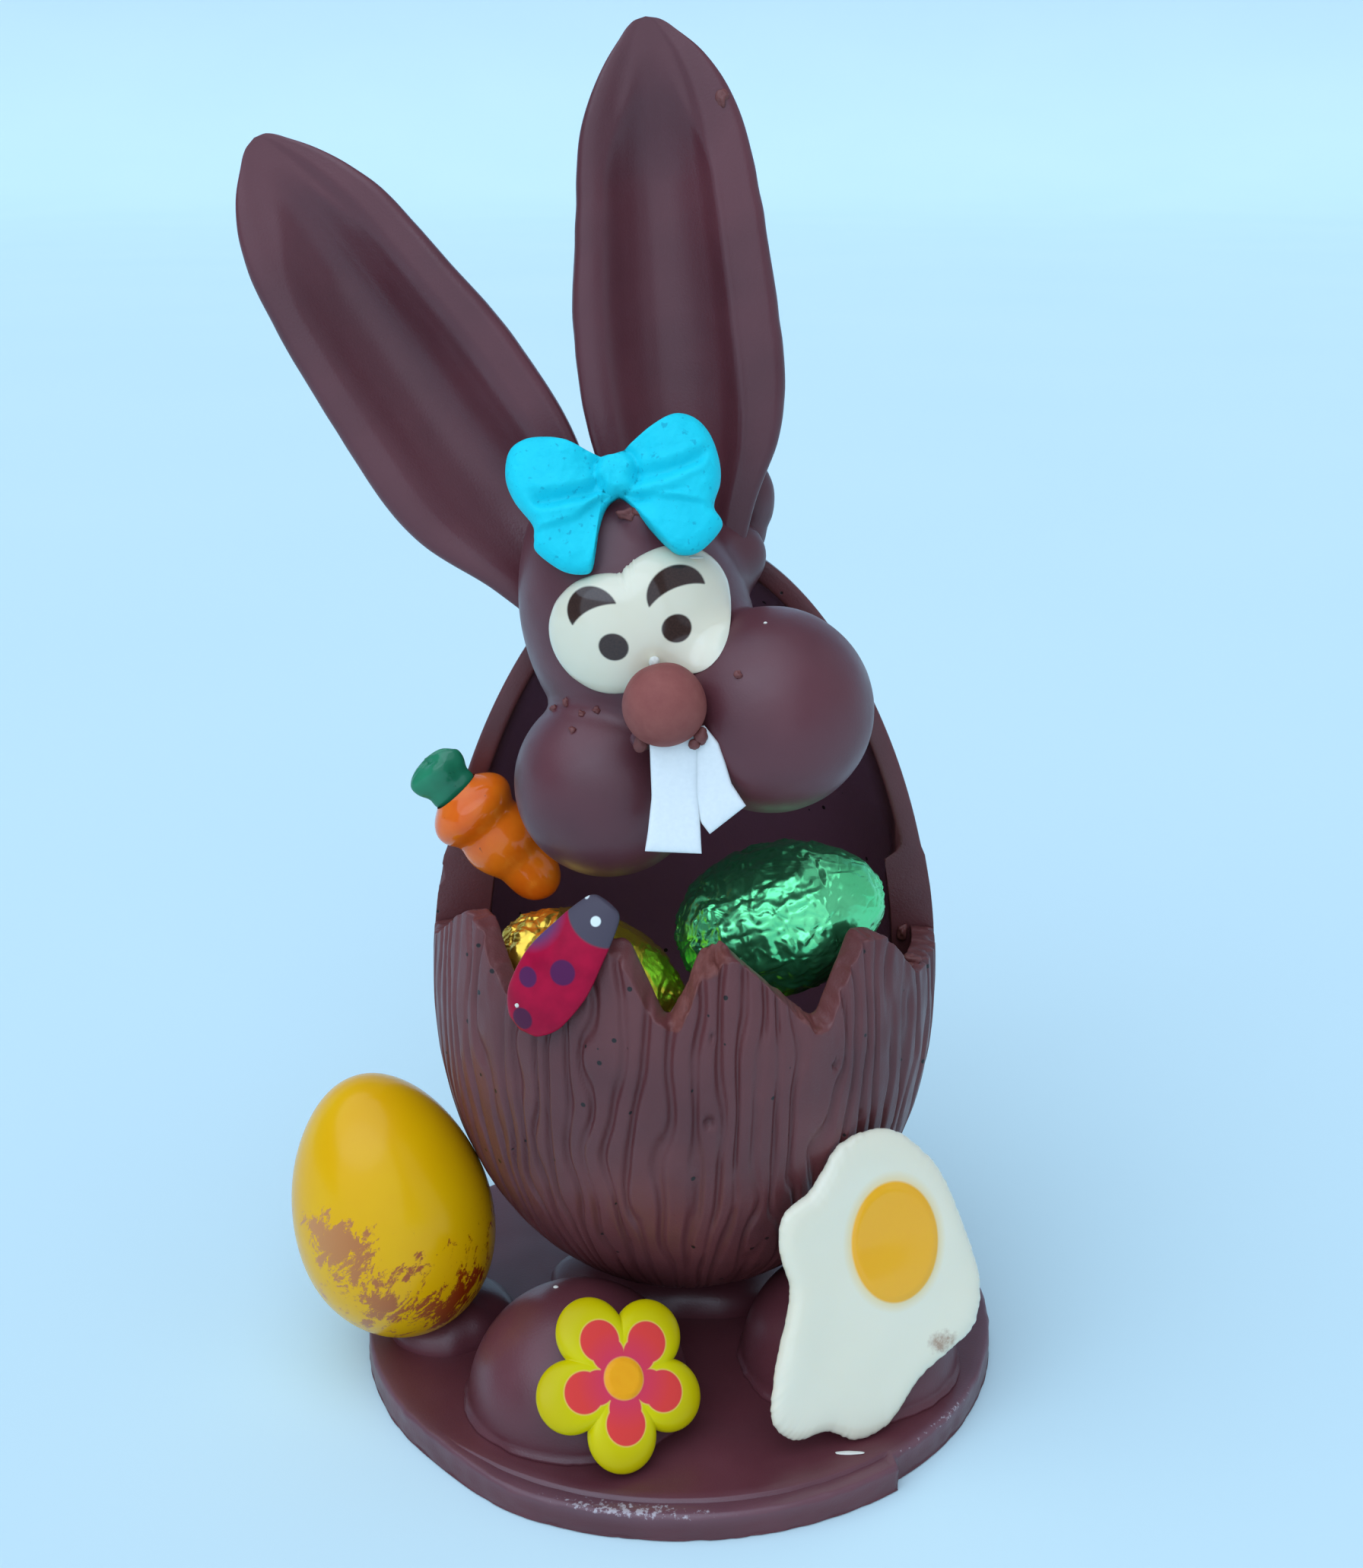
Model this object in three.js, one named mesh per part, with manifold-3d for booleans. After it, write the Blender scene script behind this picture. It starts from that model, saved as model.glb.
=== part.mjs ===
// Chocolate bunny: a cartoon hare's head glued on a broken chocolate egg that holds foil-wrapped
// eggs, on a round chocolate plate with moulded decorations.
// Millimetres. The origin is the centre of the plate's underside, +X right, +Y back, +Z up.
// Azimuths are in degrees round the egg shell's axis, 0 at the front, positive to the right.

import * as THREE from 'three';
import Module from 'manifold-3d';
import { mergeVertices } from 'three/addons/utils/BufferGeometryUtils.js';

const wasm = await Module();
wasm.setup();

// Driving dimensions.
const GAP = 0.3;
const PLATE = {
  radius: 60, thickness: 5.6, edge: 0.8, flange: 1.9, flangeFrom: -46, flangeFull: -24, flangeTo: 38,
  ledgeDrop: 0.5, rimDrop: 0.2,
};
const SHELL = {
  x: 1, y: 8, bottom: 11.2, top: 155.4, radius: 45.8, taper: 0.164,
  wall: 4, band: 4.5, bandWidth: 14, step: 96.5, barkDepth: 0.8, ridges: 28, wander: 0.6,
};
// Broken rim of the front half: azimuth and height of each corner.
const BROKEN_RIM = [
  [-90, 83], [-78, 84], [-59, 94.5], [-53, 94], [-37, 79], [-18, 96], [-13, 96.5], [-4, 82.5],
  [4, 95.5], [9, 96], [21, 87], [31, 80], [36, 87], [43, 94], [49, 93.5], [62, 82], [90, 81.5],
];
const SHELL_FOOT = { at: [0, 8], radii: [23, 15], height: 12 };
const HEAD = { at: [-7.7, -8, 145.5], lean: 21, radius: 19, length: 52, taper: 0.13 };
const YELLOW_EGG = { at: [-53.5, -9.5, 33], lean: 11, radius: 18.3, length: 52, taper: 0.13 };
const CHEEK_RIGHT = { at: [15, -22, 132.4], radius: 16.9 };
const CHEEK_LEFT = { at: [-11.8, -17, 118.2], radius: 15.9 };
const NOSE = { at: [-2.3, -36.4, 137.6], radius: 6.6 };
const TEETH = { at: [0, -36.2, 132.2], tilt: 4, thickness: 1.5, bevel: 0.3 };
const EYES = { at: [-6.3, -29, 147.9], lean: 20, lobe: 9.7, spread: 5.05, thickness: 2.8 };
const EAR = { length: 98, halfWidth: 18, back: 9.5, hollow: 6, lip: 1.8, leanBack: 6, rows: 18 };
const EAR_RIGHT = { tip: [-5.3, 8, 239.4], lean: 5, side: 1, stretch: 1 };
const EAR_LEFT = { tip: [-69.3, 8, 220.9], lean: 35, side: -1, stretch: 1.04 };
const EAR_GLUE = { at: [11.9, 8.5, 160.4], size: [4.7, 4.5, 8.8] };
const NECK_GLUE = { at: [5, 3, 152.5], size: [10, 7, 8] };
const BOW = {
  at: [-9.9, -18.5, 170.2], tilt: 26, thickness: 5.5, knot: 3, leftLoop: 18.3, rightLoop: 16.8, tail: 17.6,
};
const FOIL_EGG = { radius: 13.6, length: 38.5, taper: 0.08 };
const CARROT = {
  at: [-39.7, 0.2, 110.6], lean: 41, root: 25.8, rootFlatness: 0.9, leaf: 9, leafFlatness: 0.45, overlap: 1.5,
};
const LADYBIRD = {
  at: [-19, -33, 91.6], turns: [-12, 31, -20], length: 27.6, halfWidth: 6.4, thickness: 2.4, crown: 1.5,
};
const EGG_PUDDLE = { at: [-43.5, -6], radii: [11.5, 12], height: 7.5 };
const HALF_EGG = { radius: 20, height: 20.5 };
const MOUND_FRONT = [-18, -29];
const MOUND_RIGHT = [31.5, -18];
const FLOWER = {
  azimuth: 28, tilt: 38, petals: 5, petal: 6.2, reach: 9.2, roll: -14, thickness: 2.6, bevel: 0.8,
  standOff: 0.5,
};
const FRIED_EGG = { at: [33.9, -34.2, 31.5], azimuth: 22, tilt: 15, thickness: 2.6, bevel: 0.8 };

// Finishes.
const finish = (color, roughness, metalness = 0) => () =>
  new THREE.MeshStandardMaterial({ color, roughness, metalness });
const milkChocolate = finish(0x5b3e3c, 0.45);
const noseChocolate = finish(0x7a4238, 0.7);
const whiteChocolate = finish(0xe6e6cd, 0.25);
const whiteFondant = finish(0xf2f4f6, 0.6);
const blueFondant = finish(0x17d3e6, 0.7);
const carrotGlaze = finish(0xe0661a, 0.2);
const ladybirdPrint = finish(0x8e1038, 0.35);
const goldFoil = finish(0xc9a21c, 0.25, 0.9);
const greenFoil = finish(0x2fa35a, 0.25, 0.9);
const yellowShell = finish(0xdba511, 0.2);
const flowerPrint = finish(0xc0b414, 0.35);

const { sin, cos, acos, abs, sqrt, max, min, PI } = Math;
const radians = THREE.MathUtils.degToRad;
const smooth = THREE.MathUtils.smoothstep;

// ---- Geometry helpers --------------------------------------------------------------------

// Merges shared vertices, drops empty triangles and turns the faces out.
function closedGeometry(positions, index) {
  const raw = new THREE.BufferGeometry();
  raw.setAttribute('position', new THREE.Float32BufferAttribute(positions, 3));
  raw.setIndex(index);
  const merged = mergeVertices(raw, 1e-4);
  const source = merged.index.array;
  const point = [0, 1, 2].map(() => new THREE.Vector3());
  const triangles = [];
  let volume = 0;
  for (let i = 0; i < source.length; i += 3) {
    const corners = [source[i], source[i + 1], source[i + 2]];
    if (new Set(corners).size < 3) continue;
    corners.forEach((corner, k) => point[k].fromBufferAttribute(merged.attributes.position, corner));
    volume += point[0].dot(point[1].clone().cross(point[2]));
    triangles.push(corners);
  }
  merged.setIndex(triangles.flatMap(([a, b, c]) => (volume > 0 ? [a, b, c] : [a, c, b])));
  return merged;
}

// A closed skin: columns run round the piece, rows run from its first pole to its last.
function wrapGrid(columns, rows, pointAt) {
  const positions = [];
  const index = [];
  const at = (row, column) => row * columns + (column % columns);
  for (let row = 0; row <= rows; row++) {
    for (let column = 0; column < columns; column++) positions.push(...pointAt(column / columns, row));
  }
  for (let row = 0; row < rows; row++) {
    for (let column = 0; column < columns; column++) {
      const [a, b] = [at(row, column), at(row, column + 1)];
      const [c, d] = [at(row + 1, column + 1), at(row + 1, column)];
      index.push(a, b, c, a, c, d);
    }
  }
  return closedGeometry(positions, index);
}

function toManifold(geometry, matrix = new THREE.Matrix4()) {
  const bare = geometry.clone().applyMatrix4(matrix);
  bare.deleteAttribute('normal');
  bare.deleteAttribute('uv');
  const merged = mergeVertices(bare, 1e-4);
  const triVerts = Uint32Array.from(merged.index.array);
  const vertProperties = merged.attributes.position.array;
  return new wasm.Manifold(new wasm.Mesh({ numProp: 3, vertProperties, triVerts }));
}

// Keeps the largest body of a cut solid, so that no loose scrap stays.
function toGeometry(manifold) {
  const bodies = manifold.decompose().sort((a, b) => b.volume() - a.volume());
  const { vertProperties, triVerts } = bodies[0].getMesh();
  const geometry = new THREE.BufferGeometry();
  geometry.setAttribute('position', new THREE.Float32BufferAttribute(Array.from(vertProperties), 3));
  geometry.setIndex(Array.from(triVerts));
  return geometry;
}

function join(...geometries) {
  return toGeometry(geometries.map((g) => toManifold(g)).reduce((sum, next) => sum.add(next)));
}

function place(geometry, position = [0, 0, 0], rotation = [0, 0, 0], order = 'XYZ') {
  const mesh = new THREE.Mesh(geometry);
  mesh.position.set(...position);
  mesh.rotation.set(...rotation.map(radians), order);
  mesh.updateMatrixWorld();
  return mesh;
}

// Cuts a placed mesh by other placed meshes, in its own frame.
function carve(mesh, ...tools) {
  const toLocal = mesh.matrixWorld.clone().invert();
  let body = toManifold(mesh.geometry);
  for (const tool of tools) {
    body = body.subtract(toManifold(tool.geometry, toLocal.clone().multiply(tool.matrixWorld)));
  }
  mesh.geometry = toGeometry(body);
  return mesh;
}

// Straight-line look-up in a list of [key, value] corners.
function along(corners, key) {
  const next = corners.findIndex(([k]) => k >= key);
  if (next <= 0) return corners[next < 0 ? corners.length - 1 : 0][1];
  const [[k0, v0], [k1, v1]] = [corners[next - 1], corners[next]];
  return v0 + ((v1 - v0) * (key - k0)) / (k1 - k0);
}

// Smooth half-width along a piece, from a few [position, half-width] knots.
function widthCurve(knots) {
  const points = knots.map(([x, y]) => new THREE.Vector3(x, y, 0));
  const curve = new THREE.CatmullRomCurve3(points, false, 'centripetal');
  const samples = curve.getPoints(knots.length * 6).map((p) => [p.x, max(p.y, 0)]);
  return (position) => along(samples, position);
}

// Radius and height of an egg of revolution at t, 0 at the blunt end and 1 at the point.
function eggProfile({ radius, length, taper }, t) {
  const s = -cos(PI * t);
  return [radius * sqrt(max(0, 1 - s * s)) * (1 - taper * s), (s * length) / 2];
}

const grownEgg = ({ radius, length, taper }, grow) => ({
  radius: radius + grow, length: length + 2 * grow, taper,
});

function eggGeometry(egg, columns, rows, grow = 0) {
  return wrapGrid(columns, rows, (u, row) => {
    const [r, z] = eggProfile(grownEgg(egg, grow), row / rows);
    return [r * cos(2 * PI * u), r * sin(2 * PI * u), z];
  });
}

const ball = (radius, columns = 18, rows = 10) =>
  eggGeometry({ radius, length: 2 * radius, taper: 0 }, columns, rows);

// A low dome with a flat bottom at z = 0, oval in plan, fuller than a cone by the power.
function domeGeometry(rx, ry, height, columns, rows) {
  return wrapGrid(columns, rows, (u, row) => {
    const t = row === 0 ? 0 : (row - 1) / (rows - 1);
    const reach = row === 0 ? 0 : cos((PI / 2) * t);
    return [rx * reach * cos(2 * PI * u), ry * reach * sin(2 * PI * u), height * sin((PI / 2) * t)];
  });
}

// A flat moulding from an outline, standing in the XZ plane with its back at y = 0.
function slab(shape, thickness, bevel, curveSegments = 8) {
  const geometry = new THREE.ExtrudeGeometry(shape, {
    depth: thickness - 2 * bevel, bevelEnabled: true, bevelThickness: bevel, bevelSize: bevel,
    bevelOffset: -bevel, bevelSegments: 1, curveSegments,
  });
  geometry.translate(0, 0, bevel);
  geometry.rotateX(PI / 2);
  return geometry;
}

const splineShape = (points) => {
  const shape = new THREE.Shape();
  shape.moveTo(...points[0]);
  shape.splineThru([...points.slice(1), points[0]].map(([x, y]) => new THREE.Vector2(x, y)));
  return shape;
};

// ---- Plate -------------------------------------------------------------------------------

// Cast disc; at the front the chocolate ran over the mould's edge and broke off at one end.
function plateGeometry() {
  const { radius, thickness, edge, flange, flangeFrom, flangeFull, flangeTo, ledgeDrop, rimDrop } = PLATE;
  return wrapGrid(54, 7, (u, row) => {
    const azimuth = 360 * u - 180;
    const spill = azimuth < flangeTo ? smooth(azimuth, flangeFrom, flangeFull) : 0;
    const rim = radius + flange * spill;
    const ledge = thickness - rimDrop - ledgeDrop * spill;
    const profile = [
      [0, 0], [rim - edge, 0], [rim, edge], [rim, ledge - edge], [rim - edge, ledge],
      [radius - 2 * edge, ledge], [radius - 2.6 * edge, thickness], [0, thickness],
    ];
    const [r, z] = profile[row];
    return [r * sin(radians(azimuth)), -r * cos(radians(azimuth)), z];
  });
}

// ---- Egg shell ---------------------------------------------------------------------------

const shellEgg = { radius: SHELL.radius, length: SHELL.top - SHELL.bottom, taper: SHELL.taper };
const shellCentre = [SHELL.x, SHELL.y, (SHELL.top + SHELL.bottom) / 2];

function shellParameter(height) {
  return acos(-(height - shellCentre[2]) / (shellEgg.length / 2)) / PI;
}

// Half of the shell, open at its middle plane and, if its rim is below the top, at the top.
function shellHalf({ from, to, columns, rows, rimAt, bark, grow = 0 }) {
  const [outerEgg, innerEgg] = [grownEgg(shellEgg, grow), grownEgg(shellEgg, -SHELL.wall - grow)];
  const positions = [];
  const index = [];
  const pointAt = (inside, column, row) => {
    const azimuth = from + ((to - from) * column) / columns;
    const t = (rimAt(azimuth) * row) / rows;
    let [r, z] = eggProfile(inside ? innerEgg : outerEgg, t);
    const below = 1 - smooth(z + shellCentre[2], SHELL.step - 1, SHELL.step);
    const fade = sin(PI * t);
    if (inside) {
      const seam = min(abs(abs(azimuth) - 90), SHELL.bandWidth) / SHELL.bandWidth;
      const back = abs(azimuth) >= 90 ? 1 : 0;
      r -= back * SHELL.band * below * (1 - smooth(seam, 0.35, 1)) * smooth(fade, 0.5, 0.9);
    } else {
      const crest = column % 2 ? 0.5 : -0.5;
      r += SHELL.barkDepth * fade * (bark ? crest * below : below * 0.3);
    }
    const inPlay = bark ? fade * sin((PI * column) / columns) : 0;
    const wander = SHELL.wander * inPlay * sin(9 * t + 0.9 * column);
    const angle = radians(azimuth + wander);
    positions.push(r * sin(angle), -r * cos(angle), z);
  };
  for (const inside of [false, true]) {
    for (let row = 0; row <= rows; row++) {
      for (let column = 0; column <= columns; column++) pointAt(inside, column, row);
    }
  }
  const outer = (column, row) => row * (columns + 1) + column;
  const inner = (column, row) => (rows + 1) * (columns + 1) + outer(column, row);
  const quad = (a, b, c, d) => index.push(a, b, c, a, c, d);
  for (let column = 0; column < columns; column++) {
    for (let row = 0; row < rows; row++) {
      const [right, up] = [column + 1, row + 1];
      quad(outer(column, row), outer(right, row), outer(right, up), outer(column, up));
      quad(inner(column, up), inner(right, up), inner(right, row), inner(column, row));
    }
    quad(outer(column, rows), outer(column + 1, rows), inner(column + 1, rows), inner(column, rows));
  }
  for (let row = 0; row < rows; row++) {
    quad(outer(0, row), outer(0, row + 1), inner(0, row + 1), inner(0, row));
    quad(outer(columns, row + 1), outer(columns, row), inner(columns, row), inner(columns, row + 1));
  }
  return closedGeometry(positions, index);
}

const shellSeam = (side) => [shellCentre[0], shellCentre[1] + (side * GAP) / 2, shellCentre[2]];
const shellFront = place(
  shellHalf({
    from: -90, to: 90, columns: 2 * SHELL.ridges, rows: 8, bark: true,
    rimAt: (azimuth) => shellParameter(along(BROKEN_RIM, azimuth)),
  }),
  shellSeam(-1),
);
const backHalf = { from: 90, to: 270, columns: 28, rows: 13, rimAt: () => 1, bark: false };
const shellBack = place(shellHalf(backHalf), shellSeam(1));
const shellBackRoom = place(
  shellHalf({ ...backHalf, columns: 16, grow: 2 * GAP }),
  [shellCentre[0], shellCentre[1] - GAP, shellCentre[2]],
);
const shellRoom = place(eggGeometry(shellEgg, 32, 14, 3 * GAP), shellCentre);

// Melted chocolate that holds the shell on the plate.
const PLATE_TOP = PLATE.thickness + GAP;
const pad = ({ at, radii, height }, columns) =>
  place(domeGeometry(...radii, height, columns, 4), [...at, PLATE_TOP]);
const shellFoot = carve(pad(SHELL_FOOT, 24), shellRoom);

// ---- Head --------------------------------------------------------------------------------

const cheekRoom = (cheek) => place(ball(cheek.radius + GAP), cheek.at);
const cheekRight = place(ball(CHEEK_RIGHT.radius), CHEEK_RIGHT.at);
const cheekLeft = carve(place(ball(CHEEK_LEFT.radius), CHEEK_LEFT.at), cheekRoom(CHEEK_RIGHT));
const headRoom = (grow) => place(eggGeometry(HEAD, 24, 12, grow), HEAD.at, [0, -HEAD.lean, 0]);
const head = carve(headRoom(0), cheekRoom(CHEEK_RIGHT), cheekRoom(CHEEK_LEFT), shellBackRoom);
const noseRoom = place(ball(NOSE.radius + GAP, 16, 10), NOSE.at);
const nose = carve(
  place(ball(NOSE.radius, 16, 10), NOSE.at),
  headRoom(GAP), cheekRoom(CHEEK_RIGHT), cheekRoom(CHEEK_LEFT),
);

// Two joined white lobes, moulded round the front of the head.
function eyesPlaque() {
  const { lobe, spread, thickness } = EYES;
  const notch = acos(spread / lobe);
  const outline = new THREE.Shape();
  outline.absarc(spread, 0, lobe, -PI + notch, PI - notch, false);
  outline.absarc(-spread, 0, lobe, notch, -notch, false);
  const depth = 24;
  const stamp = slab(outline, depth, 0.01, 12);
  const plaque = place(stamp, EYES.at, [0, -EYES.lean, 0]);
  plaque.position.y += depth / 2;
  plaque.updateMatrixWorld();
  const toLocal = plaque.matrixWorld.clone().invert();
  const skin = headRoom(GAP + thickness);
  const layer = toManifold(skin.geometry, toLocal.multiply(skin.matrixWorld));
  plaque.geometry = toGeometry(toManifold(stamp).intersect(layer));
  return carve(plaque, headRoom(GAP), noseRoom, cheekRoom(CHEEK_RIGHT), cheekRoom(CHEEK_LEFT));
}

// Two white teeth, cut from one sheet with a slit between them.
function teethMesh() {
  const outline = [
    [-3.8, -1.7], [3.8, 1.7], [5.7, -0.4], [7, -3.4], [8.1, -7.3], [10.2, -11], [4.6, -15.8],
    [3.2, -14.4], [2.7, -9], [3.4, -18.5], [1.8, -18.9], [-5, -18.1], [-4.8, -14.6], [-4, -9.9],
  ];
  const shape = new THREE.Shape(outline.map(([x, y]) => new THREE.Vector2(x, y)));
  return carve(
    place(slab(shape, TEETH.thickness, TEETH.bevel), TEETH.at, [-TEETH.tilt, 0, 0]),
    noseRoom, headRoom(GAP), cheekRoom(CHEEK_RIGHT), cheekRoom(CHEEK_LEFT),
  );
}

// ---- Ears --------------------------------------------------------------------------------

// Half-width along the ear, from the tip down to the rounded foot: the outer side is fuller.
const earOuter = widthCurve([
  [0, 0], [2.4, 4.6], [6, 8.7], [12.3, 12.9], [18, 14.8], [35, 17.1], [57, 18.4], [64, 17.8], [70, 15.9],
  [78, 11.8], [90, 7.5], [98, 0],
]);
const earInner = widthCurve([
  [0, 0], [3.3, 4.3], [7, 7.6], [11.5, 10.3], [17.3, 12.7], [31, 14.6], [48, 16.7], [60, 16.4], [68, 15.2],
  [78, 11.5], [90, 7], [98, 0],
]);

// A scoop: convex behind, a rounded lip and a trough in front.
function earGeometry({ side, stretch }, grow) {
  const { length, back, hollow, lip, rows } = EAR;
  const trough = [[0, 0], [0.08, -lip], [0.3, 0.4], [0.62, 0.9 * hollow], [1, hollow]];
  const full = stretch * length;
  return wrapGrid(16, rows, (u, row) => {
    const t = (1 - cos((PI * row) / rows)) / 2;
    const depth = sqrt(sin(PI * t));
    const angle = 2 * PI * u;
    const half = (side * cos(angle) > 0 ? earOuter : earInner)(t * length);
    const extra = row % rows ? grow : 0;
    const front = (along(trough, 1 - abs(cos(angle))) * depth * half) / EAR.halfWidth;
    const y = sin(angle) > -1e-9 ? (back * depth + extra) * sin(angle) : front - extra;
    return [(half + extra) * cos(angle), y, grow - t * (full + 2 * grow)];
  });
}

const earMesh = (ear, grow = 0) =>
  place(earGeometry(ear, grow), ear.tip, [-EAR.leanBack, -ear.lean, 0], 'YXZ');
const earRight = carve(earMesh(EAR_RIGHT), headRoom(GAP), shellBackRoom);
const earLeft = carve(earMesh(EAR_LEFT), headRoom(GAP), shellBackRoom, earMesh(EAR_RIGHT, GAP));
const earsRoom = [earMesh(EAR_RIGHT, GAP), earMesh(EAR_LEFT, GAP)];

// Lumps of melted chocolate that join the ears, the head and the shell.
const blob = ({ at, size }) => place(ball(1, 12, 8).scale(...size), at);
const earGlue = carve(blob(EAR_GLUE), ...earsRoom, shellBackRoom, headRoom(GAP));
const earGlueRoom = place(ball(max(...EAR_GLUE.size) + GAP), EAR_GLUE.at);
const neckGlue = carve(
  blob(NECK_GLUE),
  ...earsRoom, shellBackRoom, headRoom(GAP), cheekRoom(CHEEK_RIGHT), earGlueRoom,
);

// ---- Bow ---------------------------------------------------------------------------------

// A puffed leaf from the knot outwards: direction in degrees, half-widths along its length.
function bowLeaf(direction, length, widths, thickness) {
  const [lastKnot] = widths.at(-1);
  const widest = max(...widths.map(([, half]) => half));
  const halfWidth = widthCurve(widths);
  const leaf = wrapGrid(10, 8, (u, row) => {
    const t = (1 - cos((PI * row) / 8)) / 2;
    const half = halfWidth(t * lastKnot);
    const puff = (thickness / 2) * sqrt(half / widest);
    return [t * length, puff * sin(2 * PI * u), half * cos(2 * PI * u)];
  });
  return leaf.rotateY(-radians(direction));
}

function bowMesh() {
  const { at, tilt, thickness } = BOW;
  const loop = [[0, 0], [1, 2.4], [6, 4], [13, 7.6], [16.5, 6.2], [18, 0]];
  const tail = [[0, 0], [1, 2], [7, 3.4], [13.5, 5.4], [16.5, 4.6], [17.6, 0]];
  const bow = join(
    bowLeaf(181, BOW.leftLoop, loop, thickness),
    bowLeaf(20, BOW.rightLoop, loop, thickness),
    bowLeaf(232, BOW.tail, tail, 0.75 * thickness),
    bowLeaf(-31, BOW.tail, tail, 0.75 * thickness),
    ball(BOW.knot, 10, 8),
  );
  return carve(place(bow, at, [-tilt, 0, 0]), ...earsRoom, headRoom(GAP));
}

// ---- Contents ----------------------------------------------------------------------------

// A foil egg lying along the direction from its blunt end to its point.
function foilEgg(position, direction, columns = 18, rows = 11) {
  const mesh = place(eggGeometry(FOIL_EGG, columns, rows), position);
  mesh.quaternion.setFromUnitVectors(new THREE.Vector3(0, 0, 1), new THREE.Vector3(...direction).normalize());
  mesh.updateMatrixWorld();
  return mesh;
}

const goldEgg = foilEgg([-15.4, -11.2, 77], [0.86, -0.1, -0.4]);
const greenEgg = foilEgg([17.6, -7.6, 89.6], [-0.93, 0.1, -0.36]);

// Eggs below, which the seen ones lie on, as one heap.
function lowerEggs() {
  const eggs = [
    foilEgg([0, 6, 30], [1, 0.2, 0], 10, 7),
    foilEgg([-14, -2, 50], [0.3, 1, 0.1], 10, 7),
    foilEgg([14, 12, 46], [-0.2, 1, 0.1], 10, 7),
    foilEgg([10, -14, 53], [1, 0.2, 0.1], 10, 7),
  ];
  return place(join(...eggs.map((egg) => egg.geometry.clone().applyMatrix4(egg.matrixWorld))));
}

// ---- Rim decorations ---------------------------------------------------------------------

// Root in three rolls with a flat leafy top, lying on the left rim.
function carrotMesh() {
  const { root: rootLength, leaf: leafLength, rootFlatness, leafFlatness, overlap } = CARROT;
  const rolls = widthCurve([
    [0, 0], [0.6, 6.5], [4, 8.2], [8, 6.6], [9.5, 6.1], [12.5, 6.4], [16, 4.8], [17.5, 4.5], [20.5, 4.8],
    [24, 3.4], [25.8, 0],
  ]);
  const root = wrapGrid(12, 14, (u, row) => {
    const z = (rootLength * (1 - cos((PI * row) / 14))) / 2;
    const r = rolls(z);
    return [r * cos(2 * PI * u), rootFlatness * r * sin(2 * PI * u), -z];
  });
  const leafWidth = widthCurve([[0, 0], [0.6, 5.4], [4, 5.2], [7.8, 5.8], [9, 0]]);
  const leaf = wrapGrid(10, 6, (u, row) => {
    const z = (leafLength * (1 - cos((PI * row) / 6))) / 2;
    const w = leafWidth(z);
    return [w * cos(2 * PI * u), leafFlatness * w * sin(2 * PI * u), z - overlap];
  });
  return carve(
    place(join(root, leaf), CARROT.at, [0, -CARROT.lean, 0]),
    cheekRoom(CHEEK_LEFT), shellBackRoom,
  );
}

// Thin domed leaf with a printed ladybird, leaning in the first gap of the broken rim.
function ladybirdMesh() {
  const { at, turns, length, halfWidth: widest, thickness, crown } = LADYBIRD;
  const halfWidth = widthCurve([
    [0, 0], [1.2, 3.2], [6, 5.8], [12, widest], [20, 5.1], [25, 3.5], [27, 2], [length, 0],
  ]);
  const leaf = wrapGrid(12, 10, (u, row) => {
    const t = (1 - cos((PI * row) / 10)) / 2;
    const half = halfWidth(t * length);
    const body = (thickness / 2) * sqrt(half / widest);
    return [half * cos(2 * PI * u), body * sin(2 * PI * u) - crown * sin(PI * t), (t - 0.5) * length];
  });
  return place(leaf, at, turns, 'ZXY');
}

// ---- Plate decorations -------------------------------------------------------------------

const halfEgg = ([x, y], grow = 0) =>
  place(
    domeGeometry(HALF_EGG.radius + grow, HALF_EGG.radius + grow, HALF_EGG.height + grow, 20, 7),
    [x, y, PLATE_TOP],
  );
const yellowEggRoom = (grow) =>
  place(eggGeometry(YELLOW_EGG, 20, 12, grow), YELLOW_EGG.at, [0, -YELLOW_EGG.lean, 0]);
const yellowEgg = yellowEggRoom(0);
const eggPuddle = carve(pad(EGG_PUDDLE, 18), yellowEggRoom(GAP), shellRoom);

// Stands a plaque up and turns it: local Y is its back, local Z its height.
const stand = (geometry, at, azimuth, tilt) => place(geometry, at, [-tilt, 0, azimuth], 'ZXY');

// Five round petals, leaning back on the front half egg.
function flowerMesh() {
  const { azimuth, tilt, petals, petal, reach, roll, thickness, bevel, standOff } = FLOWER;
  const points = [];
  const steps = 12;
  for (let step = 0; step < petals * steps; step++) {
    const angle = (2 * PI * step) / (petals * steps);
    const off = ((step + steps / 2) % steps) / steps - 0.5;
    const swing = off * ((2 * PI) / petals);
    const r = reach * cos(swing) + sqrt(max(petal ** 2 - (reach * sin(swing)) ** 2, 0.5));
    points.push(new THREE.Vector2(r * cos(angle + PI / 2), r * sin(angle + PI / 2)));
  }
  const shape = new THREE.Shape(points);
  const geometry = slab(shape, thickness, bevel).rotateY(radians(-roll + 180));
  const outwards = new THREE.Vector3(0, -1, 0).applyEuler(
    new THREE.Euler(radians(-tilt), 0, radians(azimuth), 'ZXY'),
  );
  const foot = new THREE.Vector3(...MOUND_FRONT, PLATE_TOP);
  const at = foot.addScaledVector(outwards, HALF_EGG.radius + standOff);
  return carve(stand(geometry, at.toArray(), azimuth, tilt), halfEgg(MOUND_FRONT, GAP));
}

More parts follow.
